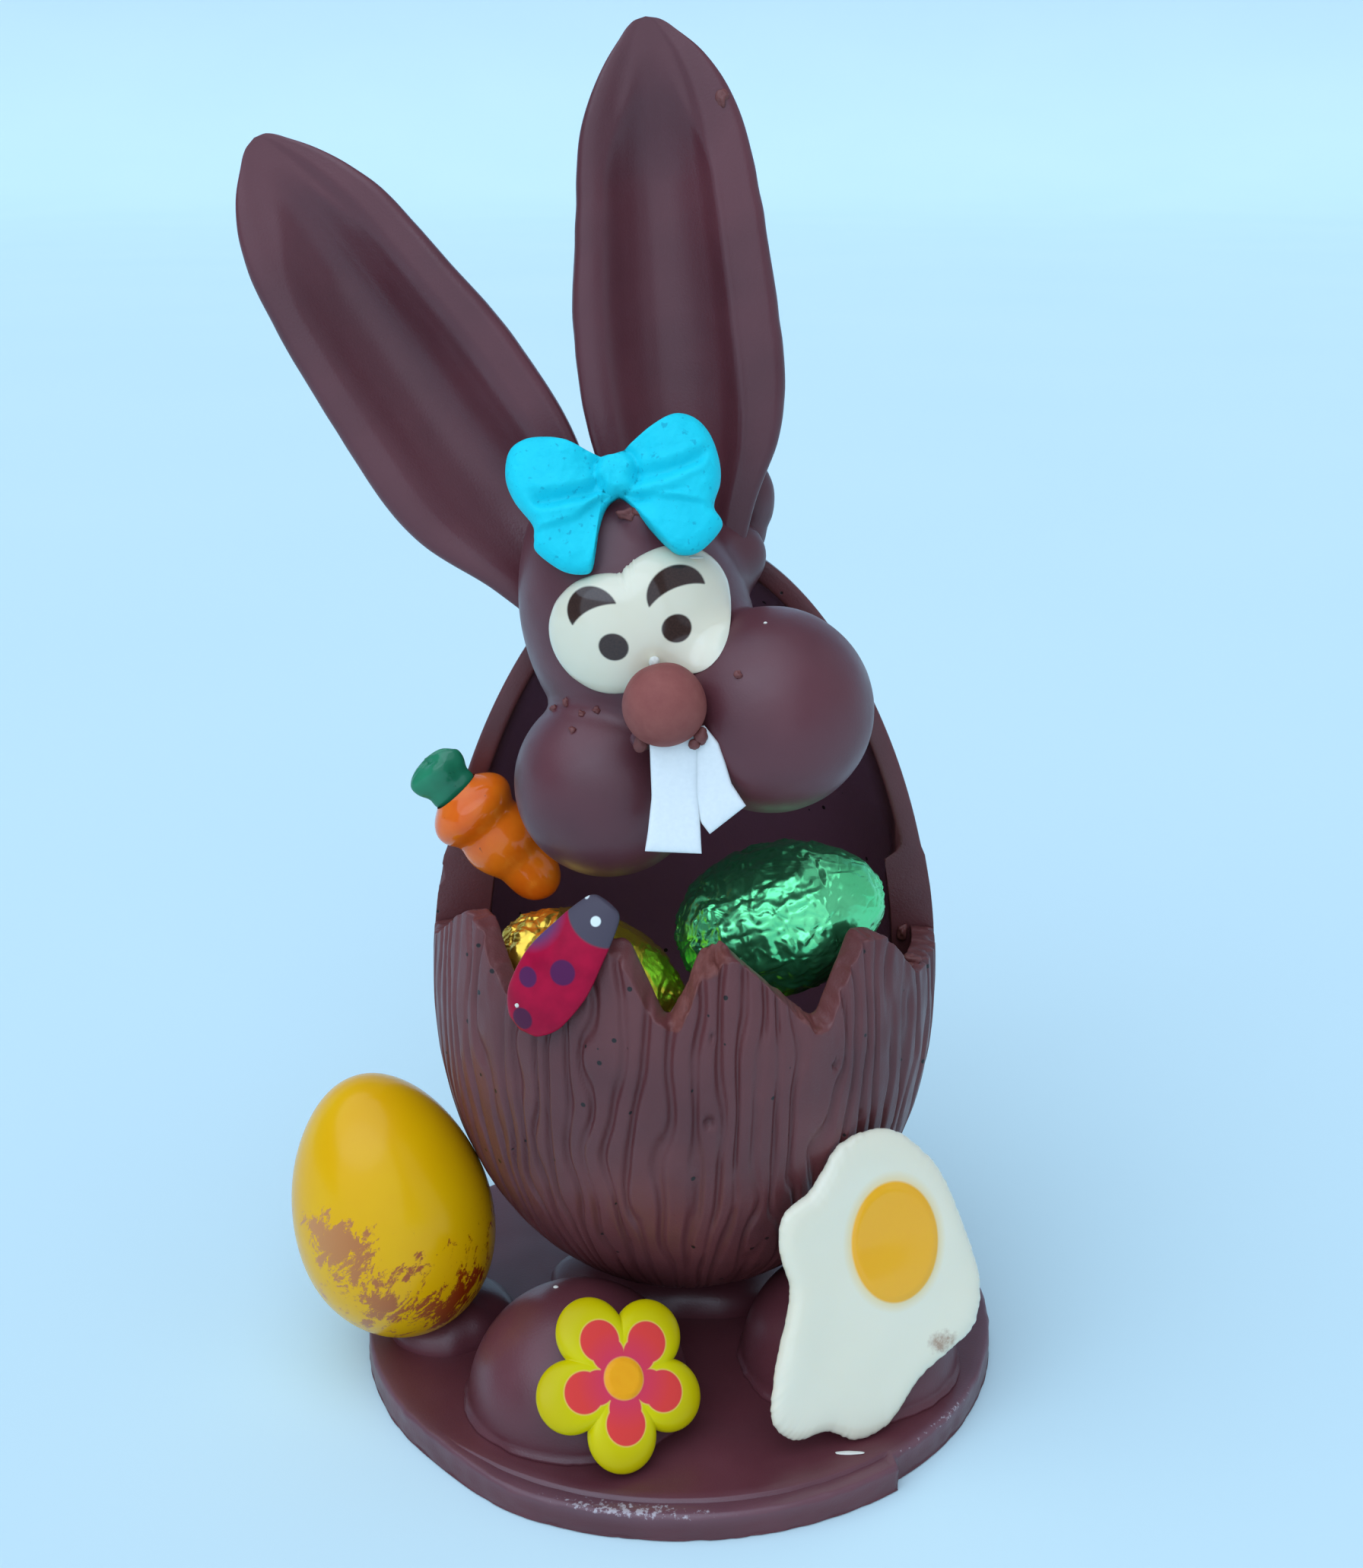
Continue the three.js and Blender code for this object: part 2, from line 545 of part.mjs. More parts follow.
// A fried egg in white chocolate, leaning on the right half egg and the shell.
function friedEggMesh() {
  const { at, azimuth, tilt, thickness, bevel } = FRIED_EGG;
  const outline = splineShape([
    [2.2, 27.3], [8.1, 25.5], [14.5, 18], [18.2, 7.6], [20.6, -2.7], [18.9, -10.9], [12.6, -15.2],
    [6.9, -18.4], [0.4, -25], [-6.2, -26.4], [-11.5, -23.6], [-17.9, -23.6], [-21.4, -19.2],
    [-20.2, -11.2], [-16.1, 1.7], [-17.1, 9.4], [-16, 15.4], [-10.1, 19.3], [-4.4, 25.7],
  ]);
  return carve(
    stand(slab(outline, thickness, bevel, 3), at, azimuth, tilt),
    halfEgg(MOUND_RIGHT, GAP), shellRoom,
  );
}

// ---- Assembly ----------------------------------------------------------------------------

const bunny = new THREE.Group();
const add = (name, mesh, material) => {
  mesh.name = name;
  mesh.material = material();
  bunny.add(mesh);
};

add('plate', place(plateGeometry()), milkChocolate);
add('shell_foot', shellFoot, milkChocolate);
add('shell_front', shellFront, milkChocolate);
add('shell_back', shellBack, milkChocolate);
add('head', head, milkChocolate);
add('cheek_right', cheekRight, milkChocolate);
add('cheek_left', cheekLeft, milkChocolate);
add('nose', nose, noseChocolate);
add('eyes', eyesPlaque(), whiteChocolate);
add('teeth', teethMesh(), whiteFondant);
add('ear_right', earRight, milkChocolate);
add('ear_left', earLeft, milkChocolate);
add('ear_glue', earGlue, milkChocolate);
add('neck_glue', neckGlue, milkChocolate);
add('bow', bowMesh(), blueFondant);
add('gold_egg', goldEgg, goldFoil);
add('green_egg', greenEgg, greenFoil);
add('lower_eggs', lowerEggs(), goldFoil);
add('carrot', carrotMesh(), carrotGlaze);
add('ladybird', ladybirdMesh(), ladybirdPrint);
add('yellow_egg', yellowEgg, yellowShell);
add('egg_puddle', eggPuddle, milkChocolate);
add('half_egg_front', halfEgg(MOUND_FRONT), milkChocolate);
add('flower', flowerMesh(), flowerPrint);
add('half_egg_right', halfEgg(MOUND_RIGHT), milkChocolate);
add('fried_egg', friedEggMesh(), whiteChocolate);

export default bunny;
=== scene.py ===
# Chocolate bunny: a cartoon hare's head on a broken chocolate egg that holds foil eggs, on a round
# chocolate plate with moulded decorations. The work is in millimetres, in the frame of the model:
# origin under the plate's centre, X to the right, Y to the back, Z up.
import bmesh
import bpy
import numpy as np
from mathutils import Euler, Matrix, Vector


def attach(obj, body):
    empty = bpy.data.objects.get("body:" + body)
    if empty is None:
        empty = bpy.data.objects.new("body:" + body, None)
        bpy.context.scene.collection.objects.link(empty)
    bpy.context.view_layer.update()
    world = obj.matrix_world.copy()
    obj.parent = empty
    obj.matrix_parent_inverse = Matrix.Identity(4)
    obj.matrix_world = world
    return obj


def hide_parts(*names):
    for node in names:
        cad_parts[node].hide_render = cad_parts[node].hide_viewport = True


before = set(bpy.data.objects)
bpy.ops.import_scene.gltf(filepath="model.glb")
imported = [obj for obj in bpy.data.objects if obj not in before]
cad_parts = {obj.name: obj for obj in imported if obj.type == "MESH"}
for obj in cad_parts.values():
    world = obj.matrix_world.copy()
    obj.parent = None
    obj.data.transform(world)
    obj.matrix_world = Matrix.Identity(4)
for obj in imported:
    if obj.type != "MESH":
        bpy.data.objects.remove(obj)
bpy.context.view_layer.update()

# ---- Studio ------------------------------------------------------------------------------------
# A pale blue paper sweep, bent up far behind the figure, under one broad soft light from above, as
# in open shade. Weaker ones come from the front and from the right, and the bluish sky gives the
# rest. The camera stands a little above the head and looks down on the plate.
MM = 0.001
WELD = 2e-6  # vertices closer than this many metres become one
SKY_BLUE = "d4e8ff"


def rgb(code):
    """Turns an sRGB hex code into linear red, green, blue and full alpha."""
    srgb = np.array([int(code[k:k + 2], 16) for k in (0, 2, 4)]) / 255
    linear = np.where(srgb <= 0.04045, srgb / 12.92, ((srgb + 0.055) / 1.055) ** 2.4)
    return (*linear.tolist(), 1.0)


def node(tree, kind, inputs=None, **settings):
    """Adds a shader node with its settings. Each input is linked if it is given a socket."""
    made = tree.nodes.new("ShaderNode" + kind)
    for key, value in settings.items():
        setattr(made, key, value)
    for key, value in (inputs or {}).items():
        if isinstance(value, bpy.types.NodeSocket):
            tree.links.new(value, made.inputs[key])
        else:
            made.inputs[key].default_value = value
    return made


def new_material(name):
    """An empty node material, with its tree."""
    material = bpy.data.materials.new(name)
    material.use_nodes = True
    material.node_tree.nodes.clear()
    return material, material.node_tree


def finish_material(tree, **inputs):
    """Closes a material with the main shader; underscores in the input names stand for blanks."""
    shader = node(tree, "BsdfPrincipled", {key.replace("_", " "): value for key, value in inputs.items()})
    node(tree, "OutputMaterial", {"Surface": shader.outputs["BSDF"]})


def grid_faces(rows, columns, closed=False):
    """Quads between neighbouring rows and columns; closed joins the last column to the first."""
    index = np.arange(rows * columns).reshape(rows, columns)
    if closed:
        index = np.hstack([index, index[:, :1]])
    corners = [index[:-1, :-1], index[:-1, 1:], index[1:, 1:], index[1:, :-1]]
    return np.stack(corners, axis=-1).reshape(-1, 4)


def mesh_object(name, points, faces, material, fields=None):
    """Puts points in mm and groups of faces into a smooth-shaded mesh in metres.

    Fields are further values at each point, kept as attributes. The poles of a grid are merged,
    and all faces are turned outwards."""
    mesh = bpy.data.meshes.new(name)
    places = (np.asarray(points).reshape(-1, 3) * MM).tolist()
    mesh.from_pydata(places, [], [face for group in faces for face in group.tolist()])
    for key, values in (fields or {}).items():
        values = np.asarray(values, float)
        kind, slot = ("FLOAT", "value") if values.ndim == 1 else ("FLOAT_VECTOR", "vector")
        mesh.attributes.new(key, kind, "POINT").data.foreach_set(slot, values.ravel())
    work = bmesh.new()
    work.from_mesh(mesh)
    bmesh.ops.remove_doubles(work, verts=work.verts, dist=WELD)
    bmesh.ops.recalc_face_normals(work, faces=work.faces)
    work.to_mesh(mesh)
    work.free()
    mesh.polygons.foreach_set("use_smooth", np.full(len(mesh.polygons), True))
    mesh.materials.append(material)
    made = bpy.data.objects.new(name, mesh)
    bpy.context.scene.collection.objects.link(made)
    return made


def build(name, points, faces, material, slot, *nodes, **options):
    """A piece of the bunny: its mesh, the body it rides on, its finish and the solids it stands for."""
    made = mesh_object(name, points, faces, material, **options)
    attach(made, "root")
    if nodes:
        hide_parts(*nodes)
    return made


def studio():
    """The sweep's profile is a floor, a wide quarter circle and a wall, drawn along X.

    The lights are as soft as a cloudy sky: their discs are 80 degrees wide. The paper is painted a little
    darker up the wall: painted shade that evens out the stronger front light on the wall."""
    width, front, back, bend, top = 30000, -3000, 4000, 3000, 6000
    turn = np.linspace(0, np.pi / 2, 32)
    curve = np.column_stack([back + bend * np.sin(turn), bend * (1 - np.cos(turn))])
    profile = np.concatenate([[[front, 0]], curve, [[back + bend, top]]])
    points = np.stack([np.column_stack([np.full(len(profile), x), profile]) for x in (-width / 2, width / 2)])
    paper, tree = new_material("pale blue paper")
    place = node(tree, "TexCoord").outputs["Object"]
    grain = node(tree, "TexNoise", {"Vector": place, "Scale": 3.0, "Detail": 1.0})
    tint = node(tree, "MixRGB", {
        "Fac": grain.outputs["Fac"], "Color1": rgb("d6eff3"), "Color2": rgb("dbf2f5"),
    })
    # Painted shade: the paper is darkened up the wall, which the front light strikes more strongly, so the
    # backdrop looks even.
    height = node(tree, "SeparateXYZ", {"Vector": place})
    wall = node(tree, "MapRange", {"Value": height.outputs["Z"], "From Min": 0.0, "From Max": 1.2})
    tint = node(tree, "MixRGB", {
        "Fac": wall.outputs["Result"], "Color1": tint.outputs["Color"], "Color2": rgb("b8c9d4"),
    })
    finish_material(tree, Base_Color=tint.outputs["Color"], Roughness=0.9, Specular_IOR_Level=0.05)
    mesh_object("sweep", points, [grid_faces(2, len(profile))], paper)
    world = bpy.data.worlds.new("soft sky")
    bpy.context.scene.world = world
    world.use_nodes = True
    background = world.node_tree.nodes["Background"]
    background.inputs["Color"].default_value = rgb(SKY_BLUE)
    background.inputs["Strength"].default_value = 0.27
    for name, toward, power in (
        ("overhead", (-0.3, -0.35, 0.9), 2.15),
        ("front", (-0.2, -0.9, 0.36), 1.2),
        ("right", (0.93, -0.1, 0.35), 0.5),
    ):
        lamp = bpy.data.lights.new(name, "SUN")
        lamp.angle = np.radians(80)
        lamp.energy = power
        lamp.color = rgb(SKY_BLUE)[:3]
        made = bpy.data.objects.new(name, lamp)
        made.rotation_euler = Vector(toward).to_track_quat("Z", "Y").to_euler()
        bpy.context.scene.collection.objects.link(made)


def photo_camera():
    """Stands 332 mm in front of the plate's centre and 226 mm up, and looks down by 19 degrees.

    Its focal length is 2600 pixels of a picture that is 2062 high; the sensor's width counts along
    the picture's longer side, which is its height."""
    image_height, focal_pixels, sensor = 2062, 2600, 36
    lens = bpy.data.cameras.new("camera")
    lens.sensor_fit = "AUTO"
    lens.sensor_width = sensor
    lens.lens = focal_pixels / image_height * sensor
    made = bpy.data.objects.new("camera", lens)
    made.location = (0, -0.3316, 0.2261)
    made.rotation_euler = Euler(np.radians([90 - 18.98, 0, -0.08]).tolist())
    bpy.context.scene.collection.objects.link(made)
    bpy.context.scene.camera = made


studio()
photo_camera()
bpy.context.scene.view_settings.view_transform = "Standard"

# ---- Plate -------------------------------------------------------------------------------------
# A disc of milk chocolate, poured in a round mould. At the front it ran over the mould's edge: a
# lower ledge with a groove behind it, broken off at the right. Its edge is scuffed whitish, with a
# painted pale sheen of sky light over it.
PLATE_RADIUS, PLATE_THICKNESS = 60.0, 5.6
# The ledge spans these azimuths and stands out and down by so much; the groove is cut behind it.
SPILL_START, SPILL_END, SPILL_OUT, SPILL_DROP = (-46, -24), 38, 1.9, 0.5
GROOVE_RADIUS, GROOVE_DEPTH = 58.3, 0.25
LOW_ROUND, HIGH_ROUND = 0.5, 0.9


def smoothstep(low, high, value):
    """Rises from 0 at low to 1 at high with level ends."""
    t = np.clip((value - low) / (high - low), 0, 1)
    return t * t * (3 - 2 * t)


def uneven(points, size, seed):
    """Smooth random field from -1 to 1: random values on a lattice of that spacing in mm, blended."""
    table = np.random.default_rng(seed).uniform(-1, 1, 4096)
    cell = np.asarray(points, float) / size
    base = np.floor(cell).astype(int)
    part = cell - base
    part = part * part * (3 - 2 * part)
    total = 0
    for corner in np.ndindex(2, 2, 2):
        key = (base + corner) @ np.array([73, 179, 283])
        weight = np.where(corner, part, 1 - part).prod(axis=-1)
        total = total + table[(key * 7 + (key // 5)) % 4096] * weight
    return total


def chocolate(name, dark, light, roughness, pinholes=0.0, fine=0.35):
    """Tempered chocolate: brown with soft darker clouds, satin, with the fine grain of a mould.

    Clouds are noise at about 25 mm, the grain is noise at about 0.4 mm, and pin holes are the
    cores of some cells of a pattern 2.6 mm wide, sunk in and painted near black as painted shade.
    Three attributes of the mesh change it: scuff lets whitish rubbed spots show over a pale purple
    haze that is partly rubbing and partly painted sky sheen, bloomed paints a pale purple sheen of
    sky light on a face, as a painted reflection, and broken makes a fresh break, which is lighter,
    redder, matt and grainy."""
    material, tree = new_material(name)
    place = node(tree, "TexCoord").outputs["Object"]
    clouds = node(tree, "TexNoise", {"Vector": place, "Scale": 40.0, "Detail": 3.0})
    fade = node(tree, "MapRange", {"Value": clouds.outputs["Fac"], "From Min": 0.35, "From Max": 0.65})
    brown = node(tree, "MixRGB", {"Fac": fade.outputs["Result"], "Color1": rgb(dark), "Color2": rgb(light)})
    grain = node(tree, "TexNoise", {"Vector": place, "Scale": 2500.0, "Detail": 2.0})
    smear = node(tree, "TexNoise", {"Vector": place, "Scale": 140.0, "Detail": 4.0})
    sheen = node(tree, "MapRange", {
        "Value": smear.outputs["Fac"], "From Min": 0.3, "From Max": 0.7,
        "To Min": roughness - 0.06, "To Max": roughness + 0.08,
    })
    # Scuff: real whitish rubbed flecks, and a pale purple haze that is partly rubbing and partly a painted
    # sheen of sky light.
    rubbed = node(tree, "Attribute", attribute_name="scuff_and_sheen")
    flecks = node(tree, "TexNoise", {"Vector": place, "Scale": 900.0, "Detail": 4.0, "Roughness": 0.7})
    amount = node(tree, "Math", {0: rubbed.outputs["Fac"], 1: flecks.outputs["Fac"]}, operation="MULTIPLY")
    white = node(tree, "MapRange", {"Value": amount.outputs["Value"], "From Min": 0.42, "From Max": 0.5})
    rub_haze_and_sheen = node(tree, "Math", {0: rubbed.outputs["Fac"], 1: 0.3}, operation="MULTIPLY")
    rubbed_and_sheened = node(tree, "MixRGB", {
        "Fac": rub_haze_and_sheen.outputs["Value"], "Color1": brown.outputs["Color"], "Color2": rgb("917480"),
    })
    worn = node(tree, "MixRGB", {
        "Fac": white.outputs["Result"], "Color1": rubbed_and_sheened.outputs["Color"], "Color2": rgb("b3a6aa"),
    })
    # Painted sheen: a pale purple reflection of the sky painted on a face, as much as the mesh asks.
    painted_sheen = node(tree, "Attribute", attribute_name="painted_sheen").outputs["Fac"]
    colour = node(tree, "MixRGB", {
        "Fac": painted_sheen, "Color1": worn.outputs["Color"], "Color2": rgb("8c5c70"),
    }).outputs["Color"]
    height = grain.outputs["Fac"]
    if pinholes:
        cells = node(tree, "TexVoronoi", {"Vector": place, "Scale": 380.0, "Randomness": 1.0})
        odd = node(tree, "SeparateColor", {"Color": cells.outputs["Color"]})
        size = node(tree, "MapRange", {
            "Value": odd.outputs["Red"], "From Min": 1 - pinholes, "From Max": 1 - pinholes / 2,
            "To Max": 0.18,
        })
        inside = node(tree, "Math", {
            0: size.outputs["Result"], 1: cells.outputs["Distance"],
        }, operation="SUBTRACT")
        pit_and_shade = node(tree, "MapRange", {"Value": inside.outputs["Value"], "From Min": 0.0, "From Max": 0.03})
        # Painted shade: the cores of the pin holes are painted near black, besides being sunk in by the bump.
        colour = node(tree, "MixRGB", {
            "Fac": pit_and_shade.outputs["Result"], "Color1": colour, "Color2": rgb("1c0c0a"),
        }).outputs["Color"]
        height = node(tree, "Math", {
            0: height, 1: pit_and_shade.outputs["Result"],
        }, operation="SUBTRACT").outputs["Value"]
    broken = node(tree, "Attribute", attribute_name="broken").outputs["Fac"]
    crumb = node(tree, "TexNoise", {"Vector": place, "Scale": 800.0, "Detail": 4.0, "Roughness": 0.7})
    fresh = node(tree, "MixRGB", {
        "Fac": crumb.outputs["Fac"], "Color1": rgb("663029"), "Color2": rgb("8c4b40"),
    })
    colour = node(tree, "MixRGB", {"Fac": broken, "Color1": colour, "Color2": fresh.outputs["Color"]})
    matt = node(tree, "Math", {0: broken, 1: 0.25, 2: sheen.outputs["Result"]}, operation="MULTIPLY_ADD")
    rough = node(tree, "Math", {0: broken, 1: crumb.outputs["Fac"]}, operation="MULTIPLY")
    height = node(tree, "Math", {0: rough.outputs["Value"], 1: 4.0, 2: height}, operation="MULTIPLY_ADD")
    bump = node(tree, "Bump", {"Height": height.outputs["Value"], "Strength": fine, "Distance": 0.0001})
    finish_material(
        tree, Base_Color=colour.outputs["Color"], Roughness=matt.outputs["Value"],
        Normal=bump.outputs["Normal"], IOR=1.5, Specular_IOR_Level=0.5, Subsurface_Weight=0.04,
        Subsurface_Radius=(0.4, 0.2, 0.1), Subsurface_Scale=0.002,
    )
    return material


moulded = chocolate("milk chocolate, cast smooth", "5a2c32", "68353b", 0.36)


def plate():
    """A turned profile, swept round; the front sector is widened by the spill and gets its ledge.

    Azimuth 0 is the front. The rim is rounded by quarter circles, the side wall is brushed by
    noise stretched along it, and the lower edge is ragged where it broke out of the mould."""
    azimuth = np.linspace(-180, 180, 450, endpoint=False)
    line = np.column_stack([azimuth, 0 * azimuth, 0 * azimuth])
    spill = smoothstep(*SPILL_START, azimuth) * (azimuth < SPILL_END)
    ragged = 0.35 * uneven(line, 3, 11) + 0.5 * np.maximum(uneven(line + [0, 0, 9], 1.6, 12), 0)
    rim = PLATE_RADIUS + SPILL_OUT * spill
    ledge = PLATE_THICKNESS - SPILL_DROP * spill
    low, high, groove = LOW_ROUND, HIGH_ROUND, GROOVE_RADIUS
    sunk = ledge - GROOVE_DEPTH * spill
    turn = np.linspace(0, np.pi / 2, 7)
    profile = [(0, 0), (rim - 8, 0)]
    profile += [
        (rim - low + low * np.sin(a) - 0.4 * np.maximum(ragged, 0), low * (1 - np.cos(a))) for a in turn
    ]
    profile += [(rim, low + (ledge - low - high) * k) for k in (0.25, 0.5, 0.75)]
    profile += [(rim - high + high * np.cos(a), ledge - high + high * np.sin(a)) for a in turn]
    profile += [
        (groove + 0.5, ledge), (groove + 0.12, sunk), (groove, sunk),
        (groove - 0.12, PLATE_THICKNESS - 0.12 * spill), (groove - 0.5, PLATE_THICKNESS),
    ]
    profile += [((groove - 0.5) * k, PLATE_THICKNESS) for k in np.linspace(0.97, 0, 28)]
    radius, z = (np.array([row[k] + 0 * rim for row in profile]) for k in (0, 1))
    angle = np.radians(azimuth)
    points = np.stack([radius * np.sin(angle), -radius * np.cos(angle), z], axis=-1)
    wave = 0.10 * uneven(points, 14, 13) + 0.03 * uneven(points, 4, 14)
    brushed = 0.14 * uneven(np.stack([60 * angle + 0 * z, 3 * z, 0 * z], axis=-1), 2.4, 15) - 0.2
    side = smoothstep(PLATE_RADIUS - 3, PLATE_RADIUS - 0.5, radius) * (z > 0.3)
    points[..., 2] += wave * (z > 1) * (radius < PLATE_RADIUS) * smoothstep(0, 20, radius)
    points[..., 0] += brushed * side * np.sin(angle)
    points[..., 1] -= brushed * side * np.cos(angle)
    front = np.exp(-((azimuth + 8) / 16) ** 2) + 0.7 * np.exp(-((azimuth - 52) / 12) ** 2)
    # Scuff on the side wall, more towards the top and at the front: real whitish rubbed flecks, and a painted
    # pale sheen of sky light.
    scuff_and_sheen = side * (0.55 + 0.36 * front) * smoothstep(2.2, 5.2, z)
    rows, columns = radius.shape
    build(
        "plate.disc", points, [grid_faces(rows, columns, closed=True)], moulded, "milk_chocolate", "plate",
        fields={"scuff_and_sheen": scuff_and_sheen.ravel()},
    )


plate()

# ---- Pads of melted chocolate ------------------------------------------------------------------
# The shell and the yellow egg stand in puddles of melted chocolate, spooned on and set: low domes
# with a wandering outline and a rounded foot.
PLATE_TOP = PLATE_THICKNESS + 0.02
PAD_SUNK = PLATE_THICKNESS - 0.6
# Name, centre, half-widths, height, seed and the solid that it stands for.
PADS = [
    ("pad.shell", (0, 8), (23.5, 15.5), 8.5, 21, "shell_foot"),
    ("pad.egg", (-43.5, -6), (12, 12.5), 7.2, 22, "egg_puddle"),
]


def dome(centre, radii, height, seed):
    """A dome on the plate: its height falls from the centre to the rim as the root of 1 - s squared.

    Its outline is an ellipse that wanders by a tenth; its foot reaches a little into the plate."""
    angle = np.linspace(0, 2 * np.pi, 120, endpoint=False)
    s = np.sin(np.linspace(0, np.pi / 2, 30))[:, None]
    circle = np.stack([np.cos(angle), np.sin(angle), 0 * angle], axis=-1)
    reach = 1 + 0.1 * uneven(circle, 0.5, seed)
    x = centre[0] + radii[0] * reach * np.cos(angle) * s
    y = centre[1] + radii[1] * reach * np.sin(angle) * s
    z = PLATE_TOP + height * np.sqrt(1 - s ** 2) + 0 * x
    top = np.stack([x, y, z], axis=-1)
    under = top[-1] * [1, 1, 0] + [0, 0, PAD_SUNK]
    base = under * 0 + [*centre, PAD_SUNK]
    return np.concatenate([top, [under], [base]])


def pads():
    """Each dome, with slow waves on what stands over the plate."""
    for name, centre, radii, height, seed, part in PADS:
        points = dome(centre, radii, height, seed)
        points[..., 2] += 0.25 * uneven(points, 7, 23) * (points[..., 2] > PLATE_TOP + 0.3)
        build(name, points, [grid_faces(*points.shape[:2], closed=True)], moulded, "milk_chocolate", part)


pads()

# ---- Egg shell ---------------------------------------------------------------------------------
# A tall chocolate egg cast in two halves and glued at a plane just behind its middle. Its lower
# part has a bark relief; the front half ends there in a jagged rim, the back half goes on smooth.
SHELL = {"x": 1.0, "y": 8.0, "bottom": 11.2, "top": 155.4, "radius": 45.8, "taper": 0.164, "wall": 4.0}
SHELL_MIDDLE = (SHELL["top"] + SHELL["bottom"]) / 2
SHELL_HALF = (SHELL["top"] - SHELL["bottom"]) / 2
SEAM = 0.15  # how far each half stands off the plane where they are glued
BARK_STEP, BARK_PITCH, BARK_DEPTH = 96.5, 4.1, 1.0
# The jagged rim: azimuth in degrees from the front and height of each corner.
RIM_AZIMUTH = [-90, -78, -59, -53, -37, -18, -13, -4, 4, 9, 21, 31, 36, 43, 49, 62, 90]
RIM_HEIGHT = [83, 84, 94.5, 94, 79, 96, 96.5, 82.5, 95.5, 96, 87, 80, 87, 94, 93.5, 82, 81.5]
# Round pits left by big air bubbles: azimuth, height and radius.
BUBBLES = [(5, 65.5, 1.0), (5.5, 81, 0.5), (34, 85, 0.55), (33, 72.5, 0.6), (42, 60, 0.5)]
BUBBLE_DEPTH = 1.1
# The thick rim band of the back half, below the step: its thickness and its width in degrees.
BAND, BAND_WIDTH = 4.5, 14.0


def egg_profile(t, radius, length, taper):
    """Radius and height of an egg at t, from 0 at its blunt end to 1 at its point."""
    s = -np.cos(np.pi * t)
    return radius * np.sqrt(np.clip(1 - s * s, 0, 1)) * (1 - taper * s), s * length / 2


def bark(azimuth, height):
    """Relief of the bark from 0 in its grooves to 1 on its ridges.

    Ridges stand a pitch apart round the shell. Two slow fields, stretched along the height, push
    them aside so that they wander, merge and end. Grooves are narrow and lose depth where a third
    field is low; the ridges are broad, with soft flanks."""
    arc = np.radians(azimuth) * SHELL["radius"]
    flat = np.stack([arc, height / 2.8, 0 * arc], axis=-1)
    phase = arc / BARK_PITCH + 1.0 * uneven(flat, 9.5, 31) + 0.36 * uneven(flat, 3.4, 32)
    wave = np.abs(2 * (phase % 1) - 1)
    groove = 1 - smoothstep(0.06, 0.56, wave)
    shallow = smoothstep(-0.75, -0.1, uneven(flat, 4.5, 30))
    return 1 - groove * (0.35 + 0.65 * shallow) + 0.10 * uneven(flat, 1.8, 33)


def stitch(first, second):
    """Triangles between two chains of vertices, of which the first has at least as many."""
    other = second[np.round(np.arange(len(first)) * (len(second) - 1) / (len(first) - 1)).astype(int)]
    fan = np.column_stack([first[:-1], first[1:], other[:-1]])
    turn = np.column_stack([first[1:], other[1:], other[:-1]])
    return np.concatenate([fan, turn[other[1:] != other[:-1]]])


def shell_wall(t, grow):
    """Radius and height of the shell's egg at t, its wall moved outwards by so many mm."""
    r, z = egg_profile(t, SHELL["radius"] + grow, 2 * (SHELL_HALF + grow), SHELL["taper"])
    return r, z + SHELL_MIDDLE


def round_shell(r, azimuth, height, seam):
    """Points at a radius from the shell's axis; the azimuth counts from the front, to the right."""
    angle = np.radians(azimuth)
    x, y = SHELL["x"] + r * np.sin(angle), SHELL["y"] + seam - r * np.cos(angle)
    return np.stack([x, y, height], axis=-1)


def round_over(first, last, steps):
    """Rows between two edges of a wall: they swing over from the first to the last, close together
    at both ends. Also gives how far each row is on its way, from 0 to 1."""
    way = np.linspace(0, 1, steps)[1:-1, None, None]
    swing = -np.cos(np.pi * way)
    across = 0.5 + 0.5 * np.sign(swing) * np.abs(swing) ** 0.6
    return first * (1 - across) + last * across, way[..., 0]


def thick_shell(outer, inner, rim):
    """Joins a fine outer grid, the rows of its rounded rim and a coarse inner grid to one skin."""
    rows, columns = outer.shape[:2]
    outside = np.arange(rows * columns).reshape(rows, columns)
    lip = outside.size + np.arange(rim.shape[0] * columns).reshape(-1, columns)
    inside = outside.size + lip.size + np.arange(inner.shape[0] * inner.shape[1]).reshape(inner.shape[:2])
    skin = np.concatenate([outside, lip])
    fine = grid_faces(*skin.shape)
    coarse = grid_faces(*inside.shape)[:, ::-1] + inside[0, 0]
    edges = [
        stitch(skin[:, 0], inside[:, 0]), stitch(skin[:, -1], inside[:, -1]), stitch(skin[-1], inside[-1]),
    ]
    points = np.concatenate([part.reshape(-1, 3) for part in (outer, rim, inner)])
    return points, [fine, coarse, *edges]


barked = chocolate(
    "milk chocolate, cast with a bark relief", "5c2d2f", "6e3838", 0.42, pinholes=0.22, fine=0.5,
)


